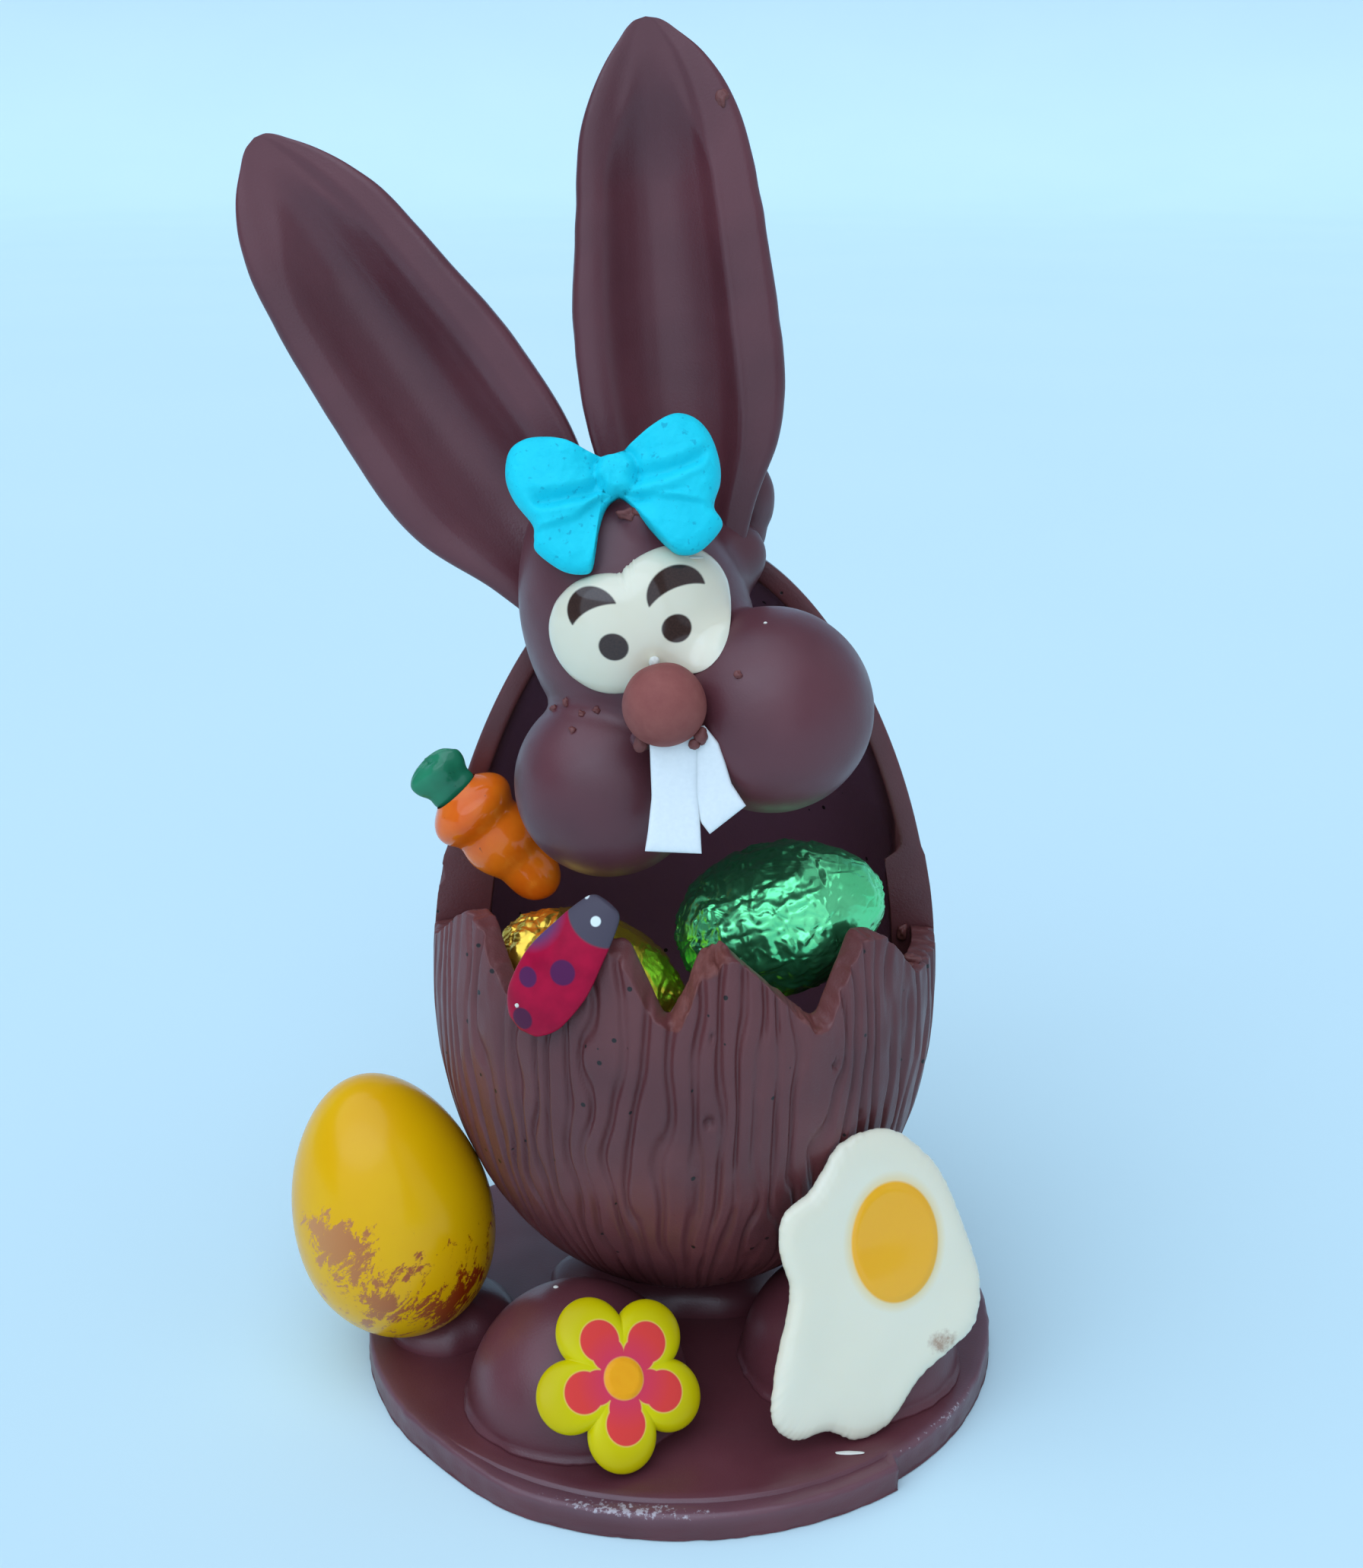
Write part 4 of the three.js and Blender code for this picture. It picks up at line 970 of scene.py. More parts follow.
def teeth():
    """Two strips; each bends forwards by the square of how far down it is."""
    material, tree = new_material("white sugar paste, rolled")
    place = node(tree, "TexCoord").outputs["Object"]
    powder = node(tree, "TexNoise", {"Vector": place, "Scale": 1500.0, "Detail": 3.0})
    colour = node(tree, "MixRGB", {
        "Fac": powder.outputs["Fac"], "Color1": rgb("eaeae8"), "Color2": rgb("f6f6f3"),
    })
    bump = node(tree, "Bump", {"Height": powder.outputs["Fac"], "Strength": 0.25, "Distance": 0.0001})
    finish_material(
        tree, Base_Color=colour.outputs["Color"], Roughness=0.55, Normal=bump.outputs["Normal"], IOR=1.5,
        Subsurface_Weight=0.2, Subsurface_Radius=(1.0, 0.9, 0.8), Subsurface_Scale=0.0015,
    )
    parts, faces, count = [], [], 0
    for left, right, setback in TEETH_EDGES:
        front, back = pillow(left, right, TEETH_THICKNESS)
        for sheet, flip in ((front, False), (back, True)):
            sheet[..., 1] += setback - TEETH_BEND * (sheet[..., 2] + 2) ** 2
            quads = grid_faces(*sheet.shape[:2]) + count
            parts.append(sheet.reshape(-1, 3))
            faces.append(quads[:, ::-1] if flip else quads)
            count += sheet.shape[0] * sheet.shape[1]
    points = turned(-TEETH_TILT, "X", np.concatenate(parts)) + TEETH_AT
    build("teeth.sheet", points, faces, material, "white_fondant", "teeth")


teeth()

# ---- Bow ---------------------------------------------------------------------------------------
# Turquoise sugar paste pressed in a bow mould: two puffed loops with a fold from the knot, and two
# tails behind them. The paste is matt, speckled with undissolved colour.
BOW_AT, BOW_TILT, BOW_HEART = np.array([-9.9, -18.5, 170.2]), 26.0, np.array([-1.5, 1.0])
BOW_FLAT, BOW_PUFF, BOW_BACK = 1.6, 2.0, 1.2
KNOT_RADIUS, KNOT_RISE, KNOT_PINCH = 3.3, 1.33, 0.8
BOW_OUTLINE = [
    (-1.4, 2.9), (-3.6, 3.1), (-8.7, 5.4), (-12.3, 5.9), (-15.2, 5.4), (-17.2, 3.5), (-17.6, -0.5),
    (-16.2, -4.2), (-13.3, -8.0), (-13.0, -10.2), (-12.6, -12.4), (-8.6, -15.4), (-5.3, -16.0),
    (-3.8, -15.1), (-3.3, -11.2), (-2.0, -6.0), (-0.4, -3.9), (1.3, -3.9), (5.3, -8.5), (7.9, -11.3),
    (10.2, -12.8), (13.4, -12.2), (16.8, -8.2), (15.5, -5.0), (16.5, -1.2), (16.4, 2.2), (15.2, 6.1),
    (13.4, 8.6), (11.2, 9.8), (8.9, 9.6), (5.0, 6.8), (0.8, 3.4),
]
# Lines across the bow, left to right: where the tails go under the loops, and the folds of the left
# and the right loop, each with its depth and width.
TAIL_LINE = [[-14, -6.6, -1.4, 0, 1.7, 6.9, 17], [-9.2, -7.2, -3.4, -3.6, -3.0, -3.5, -4.9]]
BOW_FOLDS = [
    ([[-14, -11.7, -5.5, -1.4], [-4.2, -4.9, -3.8, -1.8]], 1.5, 1.15),
    ([[1.2, 6.9, 13.1, 15], [-0.7, -0.4, 2.0, 3.4]], 1.0, 1.0),
]


def closed_curve(corners, count):
    """Smooth closed curve through its corners: each stretch is a cubic with its neighbours' slope."""
    corners = np.asarray(corners, float)
    step = np.linspace(0, len(corners), count, endpoint=False)
    k = step.astype(int)
    t = (step - k)[:, None]
    before, start, end, after = (corners[(k + shift) % len(corners)] for shift in (-1, 0, 1, 2))
    return 0.5 * (
        2 * start + (end - before) * t + (2 * before - 5 * start + 4 * end - after) * t ** 2
        + (3 * start - before - 3 * end + after) * t ** 3
    )


def bell(distance, width):
    """Falls from 1 at distance 0, as exp(-(distance / width) squared)."""
    return np.exp(-(distance / width) ** 2)


def bow():
    """Rings from the bow's heart to its outline. The loops are puffed, dip along their folds and
    swell beside them, the tails lie a step lower, and the knot is a round bump with a pinch about it."""
    outline = closed_curve(BOW_OUTLINE, 440) - BOW_HEART
    s = np.sin(np.linspace(0, np.pi / 2, 80))[:, None]
    a, b = BOW_HEART[0] + s * outline[:, 0], BOW_HEART[1] + s * outline[:, 1]
    flat = np.stack([a, b, 0 * a], axis=-1)
    from_knot = np.hypot(a, b * 0.9)
    puff = BOW_FLAT + BOW_PUFF * smoothstep(2.5, 9, from_knot) * np.sqrt(1 - (0.96 * s) ** 3)
    tails = smoothstep(0, 1.1, curve_through(*TAIL_LINE, a) - b)
    puff = puff - (1.7 - 0.05 * from_knot) * tails
    for line, depth, width in BOW_FOLDS:
        first, last = line[0][0], line[0][-1]
        along = smoothstep(first - 0.5, first + 2.2, a) * (1 - smoothstep(last - 2.2, last + 0.5, a))
        away = b - curve_through(*line, a)
        swell = bell(away - 2.1, 1.0) + bell(away + 1.9, 0.9) * (1 - tails)
        puff = puff + along * (0.5 * swell - depth * bell(away, width))
    crease = 0.5 * bell(b - 0.16 * a + 4.7, 0.5) * smoothstep(2, 4, a) * (1 - smoothstep(9, 12, a))
    pinch = KNOT_PINCH * bell(from_knot - KNOT_RADIUS, 0.8)
    knot = KNOT_RISE * np.sqrt(np.clip(1 - (from_knot / KNOT_RADIUS) ** 4, 0, 1))
    grainy = 0.14 * uneven(flat, 1.6, 91) + 0.06 * uneven(flat, 0.6, 92)
    rise = np.maximum(puff - pinch - crease, 0.5) + 0.9 + knot + grainy
    edge = (1 - s ** 14) ** 0.5
    top = np.stack([a, -rise * edge, b], axis=-1)
    back = np.stack([a * 0.985, BOW_BACK + 0 * a, b * 0.985], axis=-1)[[79, 60, 30, 0]]
    grid = turned(-BOW_TILT, "X", np.concatenate([top, back])) + BOW_AT
    material, tree = new_material("turquoise sugar paste, pressed")
    place = node(tree, "TexCoord").outputs["Object"]
    soft = node(tree, "TexNoise", {"Vector": place, "Scale": 180.0, "Detail": 3.0})
    base = node(tree, "MixRGB", {
        "Fac": soft.outputs["Fac"], "Color1": rgb("08c8da"), "Color2": rgb("1fdcea"),
    })
    specks = node(tree, "TexNoise", {"Vector": place, "Scale": 900.0, "Detail": 2.0, "Roughness": 0.6})
    dots = node(tree, "MapRange", {
        "Value": specks.outputs["Fac"], "From Min": 0.62, "From Max": 0.72, "To Max": 0.6,
    })
    colour = node(tree, "MixRGB", {
        "Fac": dots.outputs["Result"], "Color1": base.outputs["Color"], "Color2": rgb("0499b4"),
    })
    bump = node(tree, "Bump", {"Height": specks.outputs["Fac"], "Strength": 0.5, "Distance": 0.0002})
    finish_material(
        tree, Base_Color=colour.outputs["Color"], Roughness=0.65, Normal=bump.outputs["Normal"], IOR=1.48,
        Specular_IOR_Level=0.25, Subsurface_Weight=0.1, Subsurface_Radius=(0.3, 0.8, 1.0),
        Subsurface_Scale=0.001,
    )
    build("bow.paste", grid, [grid_faces(*grid.shape[:2], closed=True)], material, "blue_fondant", "bow")


bow()

# ---- Foil eggs ---------------------------------------------------------------------------------
# Small chocolate eggs wrapped by hand in lacquered aluminium foil. The foil is pressed flat in
# places, crinkled in others, and its overlapping edges show as low steps.
FOIL_RADIUS, FOIL_LENGTH, FOIL_TAPER = 13.6, 38.5, 0.08
# Where the seen eggs lie and which way their ends point; the same for the heap under them.
GOLD_EGG, GREEN_EGG = ((-15.4, -11.2, 77), (0.86, -0.1, -0.4)), ((18.0, -7.8, 89.6), (0.93, -0.1, 0.36))
HEAP = [
    ((0, 6, 30), (1, 0.2, 0)), ((-14, -2, 50), (0.3, 1, 0.1)), ((14, 12, 46), (-0.2, 1, 0.1)),
    ((10, -14, 53), (1, 0.2, 0.1)),
]
FACETS, CREASES = 500, 700


def foil(name, colour, deep, far=None):
    """Lacquered aluminium: a tinted metal whose finest crinkles are ridged noise at about 2 mm. The
    lacquer may change to another tint towards the right, between 16 and 10 mm left of the middle."""
    material, tree = new_material(name)
    place = node(tree, "TexCoord").outputs["Object"]
    crinkle = node(tree, "TexNoise", {
        "Vector": place, "Scale": 420.0, "Detail": 3.0, "Roughness": 0.6, "Distortion": 0.8,
    }, noise_type="RIDGED_MULTIFRACTAL")
    tint = node(tree, "TexNoise", {"Vector": place, "Scale": 90.0, "Detail": 2.0})
    base = node(tree, "MixRGB", {
        "Fac": tint.outputs["Fac"], "Color1": rgb(deep), "Color2": rgb(colour),
    }).outputs["Color"]
    if far:
        axes = node(tree, "SeparateXYZ", {"Vector": place})
        change = node(tree, "MapRange", {
            "Value": axes.outputs["X"], "From Min": -16 * MM, "From Max": -10 * MM,
        })
        base = node(tree, "MixRGB", {
            "Fac": change.outputs["Result"], "Color1": base, "Color2": rgb(far),
        }).outputs["Color"]
    bump = node(tree, "Bump", {"Height": crinkle.outputs["Fac"], "Strength": 0.5, "Distance": 0.0002})
    finish_material(tree, Base_Color=base, Metallic=0.9, Roughness=0.27, Normal=bump.outputs["Normal"])
    return material


def crumple(points, normals, seed):
    """How far hand-pressed foil lies off the smooth egg, in mm.

    Facets are planes laid at random places on the egg a little under its surface, which cut off
    what stands over them. Wrinkles are valleys along the zero lines of two random fields. Creases
    are short bent dents and ridges, each with a bell-shaped section."""
    random = np.random.default_rng(seed)
    flat, out = points.reshape(-1, 3), normals.reshape(-1, 3)
    pick = random.integers(0, len(flat), FACETS)
    tilt = out[pick] + random.normal(0, 0.08, (FACETS, 3))
    tilt = tilt / np.linalg.norm(tilt, axis=1, keepdims=True)
    inset = random.uniform(0.02, 0.16, FACETS)
    above = flat @ tilt.T - (flat[pick] * tilt).sum(axis=1) + inset
    total = -np.clip(above.max(axis=1), 0, 0.5)
    for size, height in ((3.0, 0.5), (1.5, 0.3)):
        total = total + height * (np.abs(uneven(flat + [40, 40, 40], size, seed + 2)) - 0.25)
    pick = random.integers(0, len(flat), CREASES)
    along = np.cross(out[pick], random.normal(size=(CREASES, 3)))
    along = along / np.linalg.norm(along, axis=1, keepdims=True)
    sideways = np.cross(out[pick], along)
    length = random.uniform(1.0, 4.0, CREASES)
    depth = random.choice([-0.3, -0.16, 0.14, 0.26], CREASES)
    width = random.uniform(0.12, 0.34, CREASES)
    run = flat @ along.T - (flat[pick] * along).sum(axis=1)
    bend = random.uniform(-0.05, 0.05, CREASES)
    off = flat @ sideways.T - (flat[pick] * sideways).sum(axis=1) - bend * run ** 2
    near = (flat @ out[pick].T - (flat[pick] * out[pick]).sum(axis=1)) > -4
    dent = depth * np.exp(-np.abs(off / width) ** 1.3) * np.clip(1 - (run / length) ** 2, 0, 1) * near
    return (total + dent.sum(axis=1)).reshape(points.shape[:-1])


def foil_egg(place, direction, seed, rows=190, columns=320, wrinkled=None):
    """An egg that lies along its direction, wrapped in crumpled foil: its points.

    Wrinkled gives the foil's crumpling from 0 to 1 at each place of the egg. A zigzag step near
    one end is the edge where the foil's ends overlap."""
    t = np.linspace(0, 1, rows)[:, None]
    turn = np.linspace(0, 2 * np.pi, columns, endpoint=False)
    r, z = egg_profile(t, FOIL_RADIUS, FOIL_LENGTH, FOIL_TAPER)
    points = np.stack([r * np.cos(turn), r * np.sin(turn), z + 0 * turn], axis=-1)
    normal = points / [FOIL_RADIUS ** 2, FOIL_RADIUS ** 2, (FOIL_LENGTH / 2) ** 2]
    normal = normal / np.maximum(np.linalg.norm(normal, axis=-1, keepdims=True), 1e-9)
    amount = 1.0 if wrinkled is None else wrinkled(points[..., 2])
    zigzag = z - FOIL_LENGTH * (0.27 + 0.035 * (np.abs((turn * 3 / np.pi) % 2 - 1) - 0.5))
    step = 0.3 * smoothstep(0, 0.3, -zigzag)
    push = crumple(points, normal, seed) * amount + step - 0.3 + 0.15 * uneven(points, 5, seed + 1)
    points = points + normal * push[..., None]
    turn_to = Vector((0, 0, 1)).rotation_difference(Vector(direction).normalized())
    return points @ np.array(turn_to.to_matrix()).T + place


gold = foil("aluminium foil, lacquered gold", "ffd65c", "f0c03c", far="fce444")
green = foil("aluminium foil, lacquered green", "8af5ac", "4cd684")


def seen_foil_eggs():
    """The green egg is smoother past its overlap, the gold one where it turns yellow."""
    def gold_wrinkles(along):
        """How crumpled the foil is: a third less from its middle to 10 mm past it."""
        return 1 - 0.35 * smoothstep(-4, 0, along) * (1 - smoothstep(10, 13, along))

    def green_wrinkles(along):
        """How crumpled the foil is: less than half from 12 mm past the middle."""
        return 1 - 0.6 * smoothstep(10, 12, along)

    gold_points = foil_egg(*GOLD_EGG, 101, rows=150, columns=250, wrinkled=gold_wrinkles)
    green_points = foil_egg(*GREEN_EGG, 131, wrinkled=green_wrinkles)
    for name, points, material, slot in (
        ("gold_egg", gold_points, gold, "gold_foil"), ("green_egg", green_points, green, "green_foil"),
    ):
        build(name + ".foil", points, [grid_faces(*points.shape[:2], closed=True)], material, slot, name)


def hidden_foil_eggs():
    """The eggs underneath, of which only gaps show: the same egg with fewer faces."""
    rows, columns = 40, 70
    heap = [foil_egg(*lying, 160 + k, rows, columns) for k, lying in enumerate(HEAP)]
    faces = [grid_faces(rows, columns, closed=True) + k * rows * columns for k in range(len(heap))]
    build("lower_eggs.foil", np.concatenate(heap), faces, gold, "gold_foil", "lower_eggs")


seen_foil_eggs()
hidden_foil_eggs()

# ---- Carrot ------------------------------------------------------------------------------------
# A small moulded carrot of coloured chocolate, glossy: three orange rolls and a flat green top,
# glued in the gap between the rim band and the left cheek.
CARROT_AT, CARROT_LEAN = np.array([-39.7, 0.2, 110.6]), 41.0
ROOT_LENGTH, TOP_LENGTH, TOP_RADIUS = 25.8, 9.0, 5.2
# Each roll of the root and the core in them: how far down its middle lies, half length, radius.
CARROT_ROLLS = [(4.4, 4.9, 8.0), (12.0, 6.0, 6.5), (20.0, 5.8, 4.8)]
CARROT_CORE = (9.0, 13.0, 6.2)


def glaze(name, light, dark, speck):
    """Coloured cocoa butter over chocolate: glossy and slightly cloudy, with dark specks."""
    material, tree = new_material(name)
    place = node(tree, "TexCoord").outputs["Object"]
    cloud = node(tree, "TexNoise", {"Vector": place, "Scale": 110.0, "Detail": 3.0})
    fade = node(tree, "MapRange", {"Value": cloud.outputs["Fac"], "From Min": 0.35, "From Max": 0.65})
    base = node(tree, "MixRGB", {"Fac": fade.outputs["Result"], "Color1": rgb(dark), "Color2": rgb(light)})
    fine = node(tree, "TexNoise", {"Vector": place, "Scale": 700.0, "Detail": 3.0, "Roughness": 0.7})
    dots = node(tree, "MapRange", {
        "Value": fine.outputs["Fac"], "From Min": 0.69, "From Max": 0.74, "To Max": 0.7,
    })
    colour = node(tree, "MixRGB", {
        "Fac": dots.outputs["Result"], "Color1": base.outputs["Color"], "Color2": rgb(speck),
    })
    bump = node(tree, "Bump", {"Height": cloud.outputs["Fac"], "Strength": 0.2, "Distance": 0.0004})
    finish_material(
        tree, Base_Color=colour.outputs["Color"], Roughness=0.14, Normal=bump.outputs["Normal"], IOR=1.46,
        Specular_IOR_Level=0.3, Subsurface_Weight=0.05, Subsurface_Radius=(1.0, 0.5, 0.2),
        Subsurface_Scale=0.0012, Coat_Weight=0.25, Coat_Roughness=0.06,
    )
    return material


def rounded(length, steps):
    """Places from 0 to a length, closer together at both ends, as a column."""
    return length * (1 - np.cos(np.pi * np.linspace(0, 1, steps)))[:, None] / 2


def carrot():
    """The root is turned from three rolls and a core inside them, flattened a little; the top is an
    oval block that widens to a ragged end. Both are closed by their poles."""
    turn = np.linspace(0, 2 * np.pi, 90, endpoint=False)
    z = rounded(ROOT_LENGTH, 90)

    def roll(at, reach, radius):
        """A roll's radius at each height: a half ellipse."""
        return radius * np.clip(1 - ((z - at) / reach) ** 2, 0, 1) ** 0.5

    r = sum(roll(*each) ** 6 for each in CARROT_ROLLS) ** (1 / 6)
    r = (r ** 8 + roll(*CARROT_CORE) ** 8) ** (1 / 8)
    root = np.stack([r * np.cos(turn), 0.9 * r * np.sin(turn), -z + 0 * turn], axis=-1)
    root = root + 0.22 * uneven(root, 4, 171)[..., None] * [1, 1, 0] * smoothstep(0, 3, r)[..., None]
    up, middle = rounded(TOP_LENGTH, 50), TOP_LENGTH / 2
    block = np.sqrt(np.clip(1 - (np.abs(up - middle) / middle) ** 5, 0, 1))
    w = block * (TOP_RADIUS + 0.10 * (up - middle) - 0.7 * bell(up - 3.4, 1.5))
    ribs = 1 + 0.08 * np.cos(5 * turn + 0.6) * smoothstep(1, 5, up)
    circle = np.stack([2 * np.cos(turn), 2 * np.sin(turn), 0 * turn], axis=-1)
    ragged = 0.6 * uneven(circle, 1.0, 172) * smoothstep(6.5, 8.5, up)
    top = np.stack([w * ribs * np.cos(turn), 0.5 * w * ribs * np.sin(turn), up - 1.5 + ragged], axis=-1)
    for name, grid, material in (
        ("carrot.root", root, glaze("orange cocoa butter glaze", "fa7a18", "e8600e", "8a3a14")),
        ("carrot.top", top, glaze("green cocoa butter glaze", "2c8a62", "1c6a4c", "0f4a36")),
    ):
        grid = turned(-CARROT_LEAN, "Y", grid) + CARROT_AT
        build(name, grid, [grid_faces(*grid.shape[:2], closed=True)], material, "carrot_glaze", "carrot")


carrot()

# ---- Ladybird ----------------------------------------------------------------------------------
# A thin curved leaf of white chocolate printed as a ladybird: crimson with plum spots, a slate
# head with white eyes. It leans in the first gap of the broken rim.
LADYBIRD_AT, LADYBIRD_LENGTH, LADYBIRD_THICKNESS, LADYBIRD_BULGE = (-19, -33, 91.6), 27.6, 1.1, 1.5
LADYBIRD_TURNS = [(31, "Y"), (-12, "X"), (-20, "Z")]
# Half-widths from the tail to the head: how far along, and how wide there.
LADYBIRD_WIDTH = [[0, 1.2, 6, 12, 20, 25, 26.6, 27.3, 27.6], [0, 3.2, 5.8, 6.4, 5.1, 3.8, 3.1, 2.2, 0]]
# The print, from the bottom up: centre, radius, softness of the edge, ink. Painted shade along the
# left edge, three spots, the head and the two eyes.
LADYBIRD_PRINT = [
    ((-9.6, 4.2), 5.6, 1.2, "64406a"), ((-3.4, -4.4), 1.75, 0.15, "5c2350"),
    ((1.1, 0.3), 2.15, 0.15, "5a1f4d"), ((-0.4, -11.2), 1.9, 0.15, "55213f"),
    ((0.6, 15.0), 8.2, 0.2, "524a55"), ((-3.4, 12.4), 0.45, 0.1, "e9efe9"),
    ((0.5, 10.4), 0.85, 0.1, "e9efe9"),
]


def printed_leaf():
    """White chocolate under a print of crimson with faint blots at 3 mm; satin, because the print
    is cocoa butter that took the matt grain of its transfer sheet."""
    material, tree = new_material("white chocolate leaf, printed")
    mark = node(tree, "Attribute", attribute_name="print").outputs["Vector"]
    place = node(tree, "TexCoord").outputs["Object"]
    blot = node(tree, "TexNoise", {"Vector": place, "Scale": 300.0, "Detail": 3.0})
    shade = node(tree, "MapRange", {"Value": blot.outputs["Fac"], "From Min": 0.35, "From Max": 0.7})
    colour = node(tree, "MixRGB", {
        "Fac": shade.outputs["Result"], "Color1": rgb("a00832"), "Color2": rgb("b60c38"),
    }).outputs["Color"]
    # The first disc is painted shade along the leaf's left edge; the others are its print.
    for centre, radius, soft, ink in LADYBIRD_PRINT:
        disc = printed_oval(tree, mark, centre, (radius, radius), soft)
        colour = node(tree, "MixRGB", {"Fac": disc, "Color1": colour, "Color2": rgb(ink)}).outputs["Color"]
    finish_material(tree, Base_Color=colour, Roughness=0.34, IOR=1.46, Specular_IOR_Level=0.15)
    return material


def ladybird():
    """Rows run along the leaf, columns round its section, which is flat behind a slight crown. The
    whole leaf bulges forwards along an arch."""
    rows, columns = 90, 120
    along = rounded(LADYBIRD_LENGTH, rows)
    turn = np.linspace(0, 2 * np.pi, columns, endpoint=False)
    half = np.maximum(curve_through(*LADYBIRD_WIDTH, along), 0)
    share = half / max(LADYBIRD_WIDTH[1])
    cosine = np.sign(np.cos(turn)) * np.abs(np.cos(turn)) ** 0.8
    x = half * cosine
    crown = LADYBIRD_BULGE * np.sin(np.pi * along / LADYBIRD_LENGTH) + 0.9 * (1 - cosine ** 2) * share
    body = LADYBIRD_THICKNESS * np.sqrt(share) * np.sign(np.sin(turn)) * np.abs(np.sin(turn)) ** 0.6
    points = np.stack([x, body * 0.75 - crown, along - LADYBIRD_LENGTH / 2 + 0 * turn], axis=-1)
    prints = points[..., [0, 2, 1]]
    prints[..., 2] = -BEHIND_PRINT * smoothstep(0.1, 0.6, np.sin(turn))
    for degrees, axis in LADYBIRD_TURNS:
        points = turned(degrees, axis, points)
    build(
        "ladybird.leaf", points + LADYBIRD_AT, [grid_faces(rows, columns, closed=True)], printed_leaf(),
        "ladybird_print", "ladybird", fields={"print": prints.reshape(-1, 3)},
    )


ladybird()

# ---- Decorated egg -----------------------------------------------------------------------------
# A glossy egg coloured with yellow cocoa butter, with copper dusting rubbed on in torn patches. It
# stands in its puddle and leans on the shell.
YELLOW_AT, YELLOW_LEAN = np.array([-53.5, -9.5, 33]), 11.0
YELLOW_RADIUS, YELLOW_LENGTH, YELLOW_TAPER = 18.2, 51.8, 0.13
# Where most dust was rubbed on, from the egg's middle: place, reach and strength.
DUSTED = [((-8, -16, 3), 11, 0.2), ((0, -17, -10), 12, 0.11), ((13, -11, -13), 12, 0.13)]


def yellow_glaze():
    """Yellow cocoa butter, glossy. The copper dust lies where slanting noise, with patches some
    3 mm wide, and the nearness to a rubbed place add up to enough; none is near the top."""
    material, tree = new_material("yellow cocoa butter glaze with copper dust")
    place = node(tree, "TexCoord").outputs["Object"]
    local = node(tree, "Mapping", {"Vector": place, "Location": (-YELLOW_AT * MM).tolist()}).outputs["Vector"]
    axes = node(tree, "SeparateXYZ", {"Vector": local})
    slanted = node(tree, "Mapping", {
        "Vector": local, "Rotation": (0, 0.7, 0), "Scale": (1.0, 1.0, 2.2),
    }, vector_type="TEXTURE")
    patches = node(tree, "TexNoise", {
        "Vector": slanted.outputs["Vector"], "Scale": 300.0, "Detail": 9.0, "Roughness": 0.8,
        "Distortion": 0.4,
    })
    rubbed = node(tree, "MapRange", {
        "Value": axes.outputs["Z"], "From Min": 16 * MM, "From Max": 0.0, "To Min": -0.2, "To Max": 0.0,
    }).outputs["Result"]
    for centre, reach, strength in DUSTED:
        centre = [MM * value for value in centre]
        away = node(tree, "VectorMath", {0: local, 1: centre}, operation="DISTANCE")
        here = node(tree, "MapRange", {
            "Value": away.outputs["Value"], "From Min": reach * MM, "From Max": 0.0, "To Min": 0.0,
            "To Max": strength,
        }, interpolation_type="SMOOTHSTEP")
        rubbed = node(tree, "Math", {0: rubbed, 1: here.outputs["Result"]}, operation="ADD").outputs["Value"]
    total = node(tree, "Math", {0: patches.outputs["Fac"], 1: rubbed}, operation="ADD")
    torn = node(tree, "MapRange", {"Value": total.outputs["Value"], "From Min": 0.56, "From Max": 0.58})
    warm = node(tree, "MapRange", {
        "Value": axes.outputs["X"], "From Min": -12 * MM, "From Max": 14 * MM,
    })
    copper = node(tree, "MixRGB", {
        "Fac": warm.outputs["Result"], "Color1": rgb("d08a52"), "Color2": rgb("9a3408"),
    })
    fade = node(tree, "TexNoise", {"Vector": local, "Scale": 60.0, "Detail": 2.0})
    yellow = node(tree, "MixRGB", {
        "Fac": fade.outputs["Fac"], "Color1": rgb("eba600"), "Color2": rgb("f4bb00"),
    })
    colour = node(tree, "MixRGB", {
        "Fac": torn.outputs["Result"], "Color1": yellow.outputs["Color"], "Color2": copper.outputs["Color"],
    })
    finish_material(
        tree, Base_Color=colour.outputs["Color"], Roughness=0.24, IOR=1.46, Specular_IOR_Level=0.25,
        Coat_Weight=0.08, Coat_Roughness=0.05, Subsurface_Weight=0.05, Subsurface_Radius=(1.0, 0.7, 0.2),
        Subsurface_Scale=0.001,
    )
    return material


def yellow_egg():
    """The egg's profile turned round its axis, pushed in and out by up to a 250th."""
    rows, columns = 90, 140
    t = np.linspace(0, 1, rows)[:, None]
    turn = np.linspace(0, 2 * np.pi, columns, endpoint=False)
    r, z = egg_profile(t, YELLOW_RADIUS, YELLOW_LENGTH, YELLOW_TAPER)
    points = np.stack([r * np.cos(turn), r * np.sin(turn), z + 0 * turn], axis=-1)
    points *= 1 + 0.004 * uneven(points, 9, 181)[..., None]
    points = turned(-YELLOW_LEAN, "Y", points) + YELLOW_AT
    faces = [grid_faces(rows, columns, closed=True)]
    build("yellow_egg.shell", points, faces, yellow_glaze(), "yellow_shell", "yellow_egg")


yellow_egg()

# ---- Half eggs ---------------------------------------------------------------------------------
# Two round half eggs of milk chocolate, glued flat side down; a thin flash of chocolate stands out
# round the foot of each.
HALF_EGG_RADIUS, HALF_EGG_HEIGHT = 20.0, 20.5
FRONT_HALF_AT, RIGHT_HALF_AT = (-18, -29), (31.5, -18)
# The flash's section, from the top down: share of its reach and height.
FLASH = [
    (0.99, PLATE_TOP + 0.85), (1.015, PLATE_TOP + 0.6), (1.015, PLATE_TOP + 0.1),
    (1.0, PLATE_THICKNESS - 0.4), (0, PLATE_THICKNESS - 0.4),
]


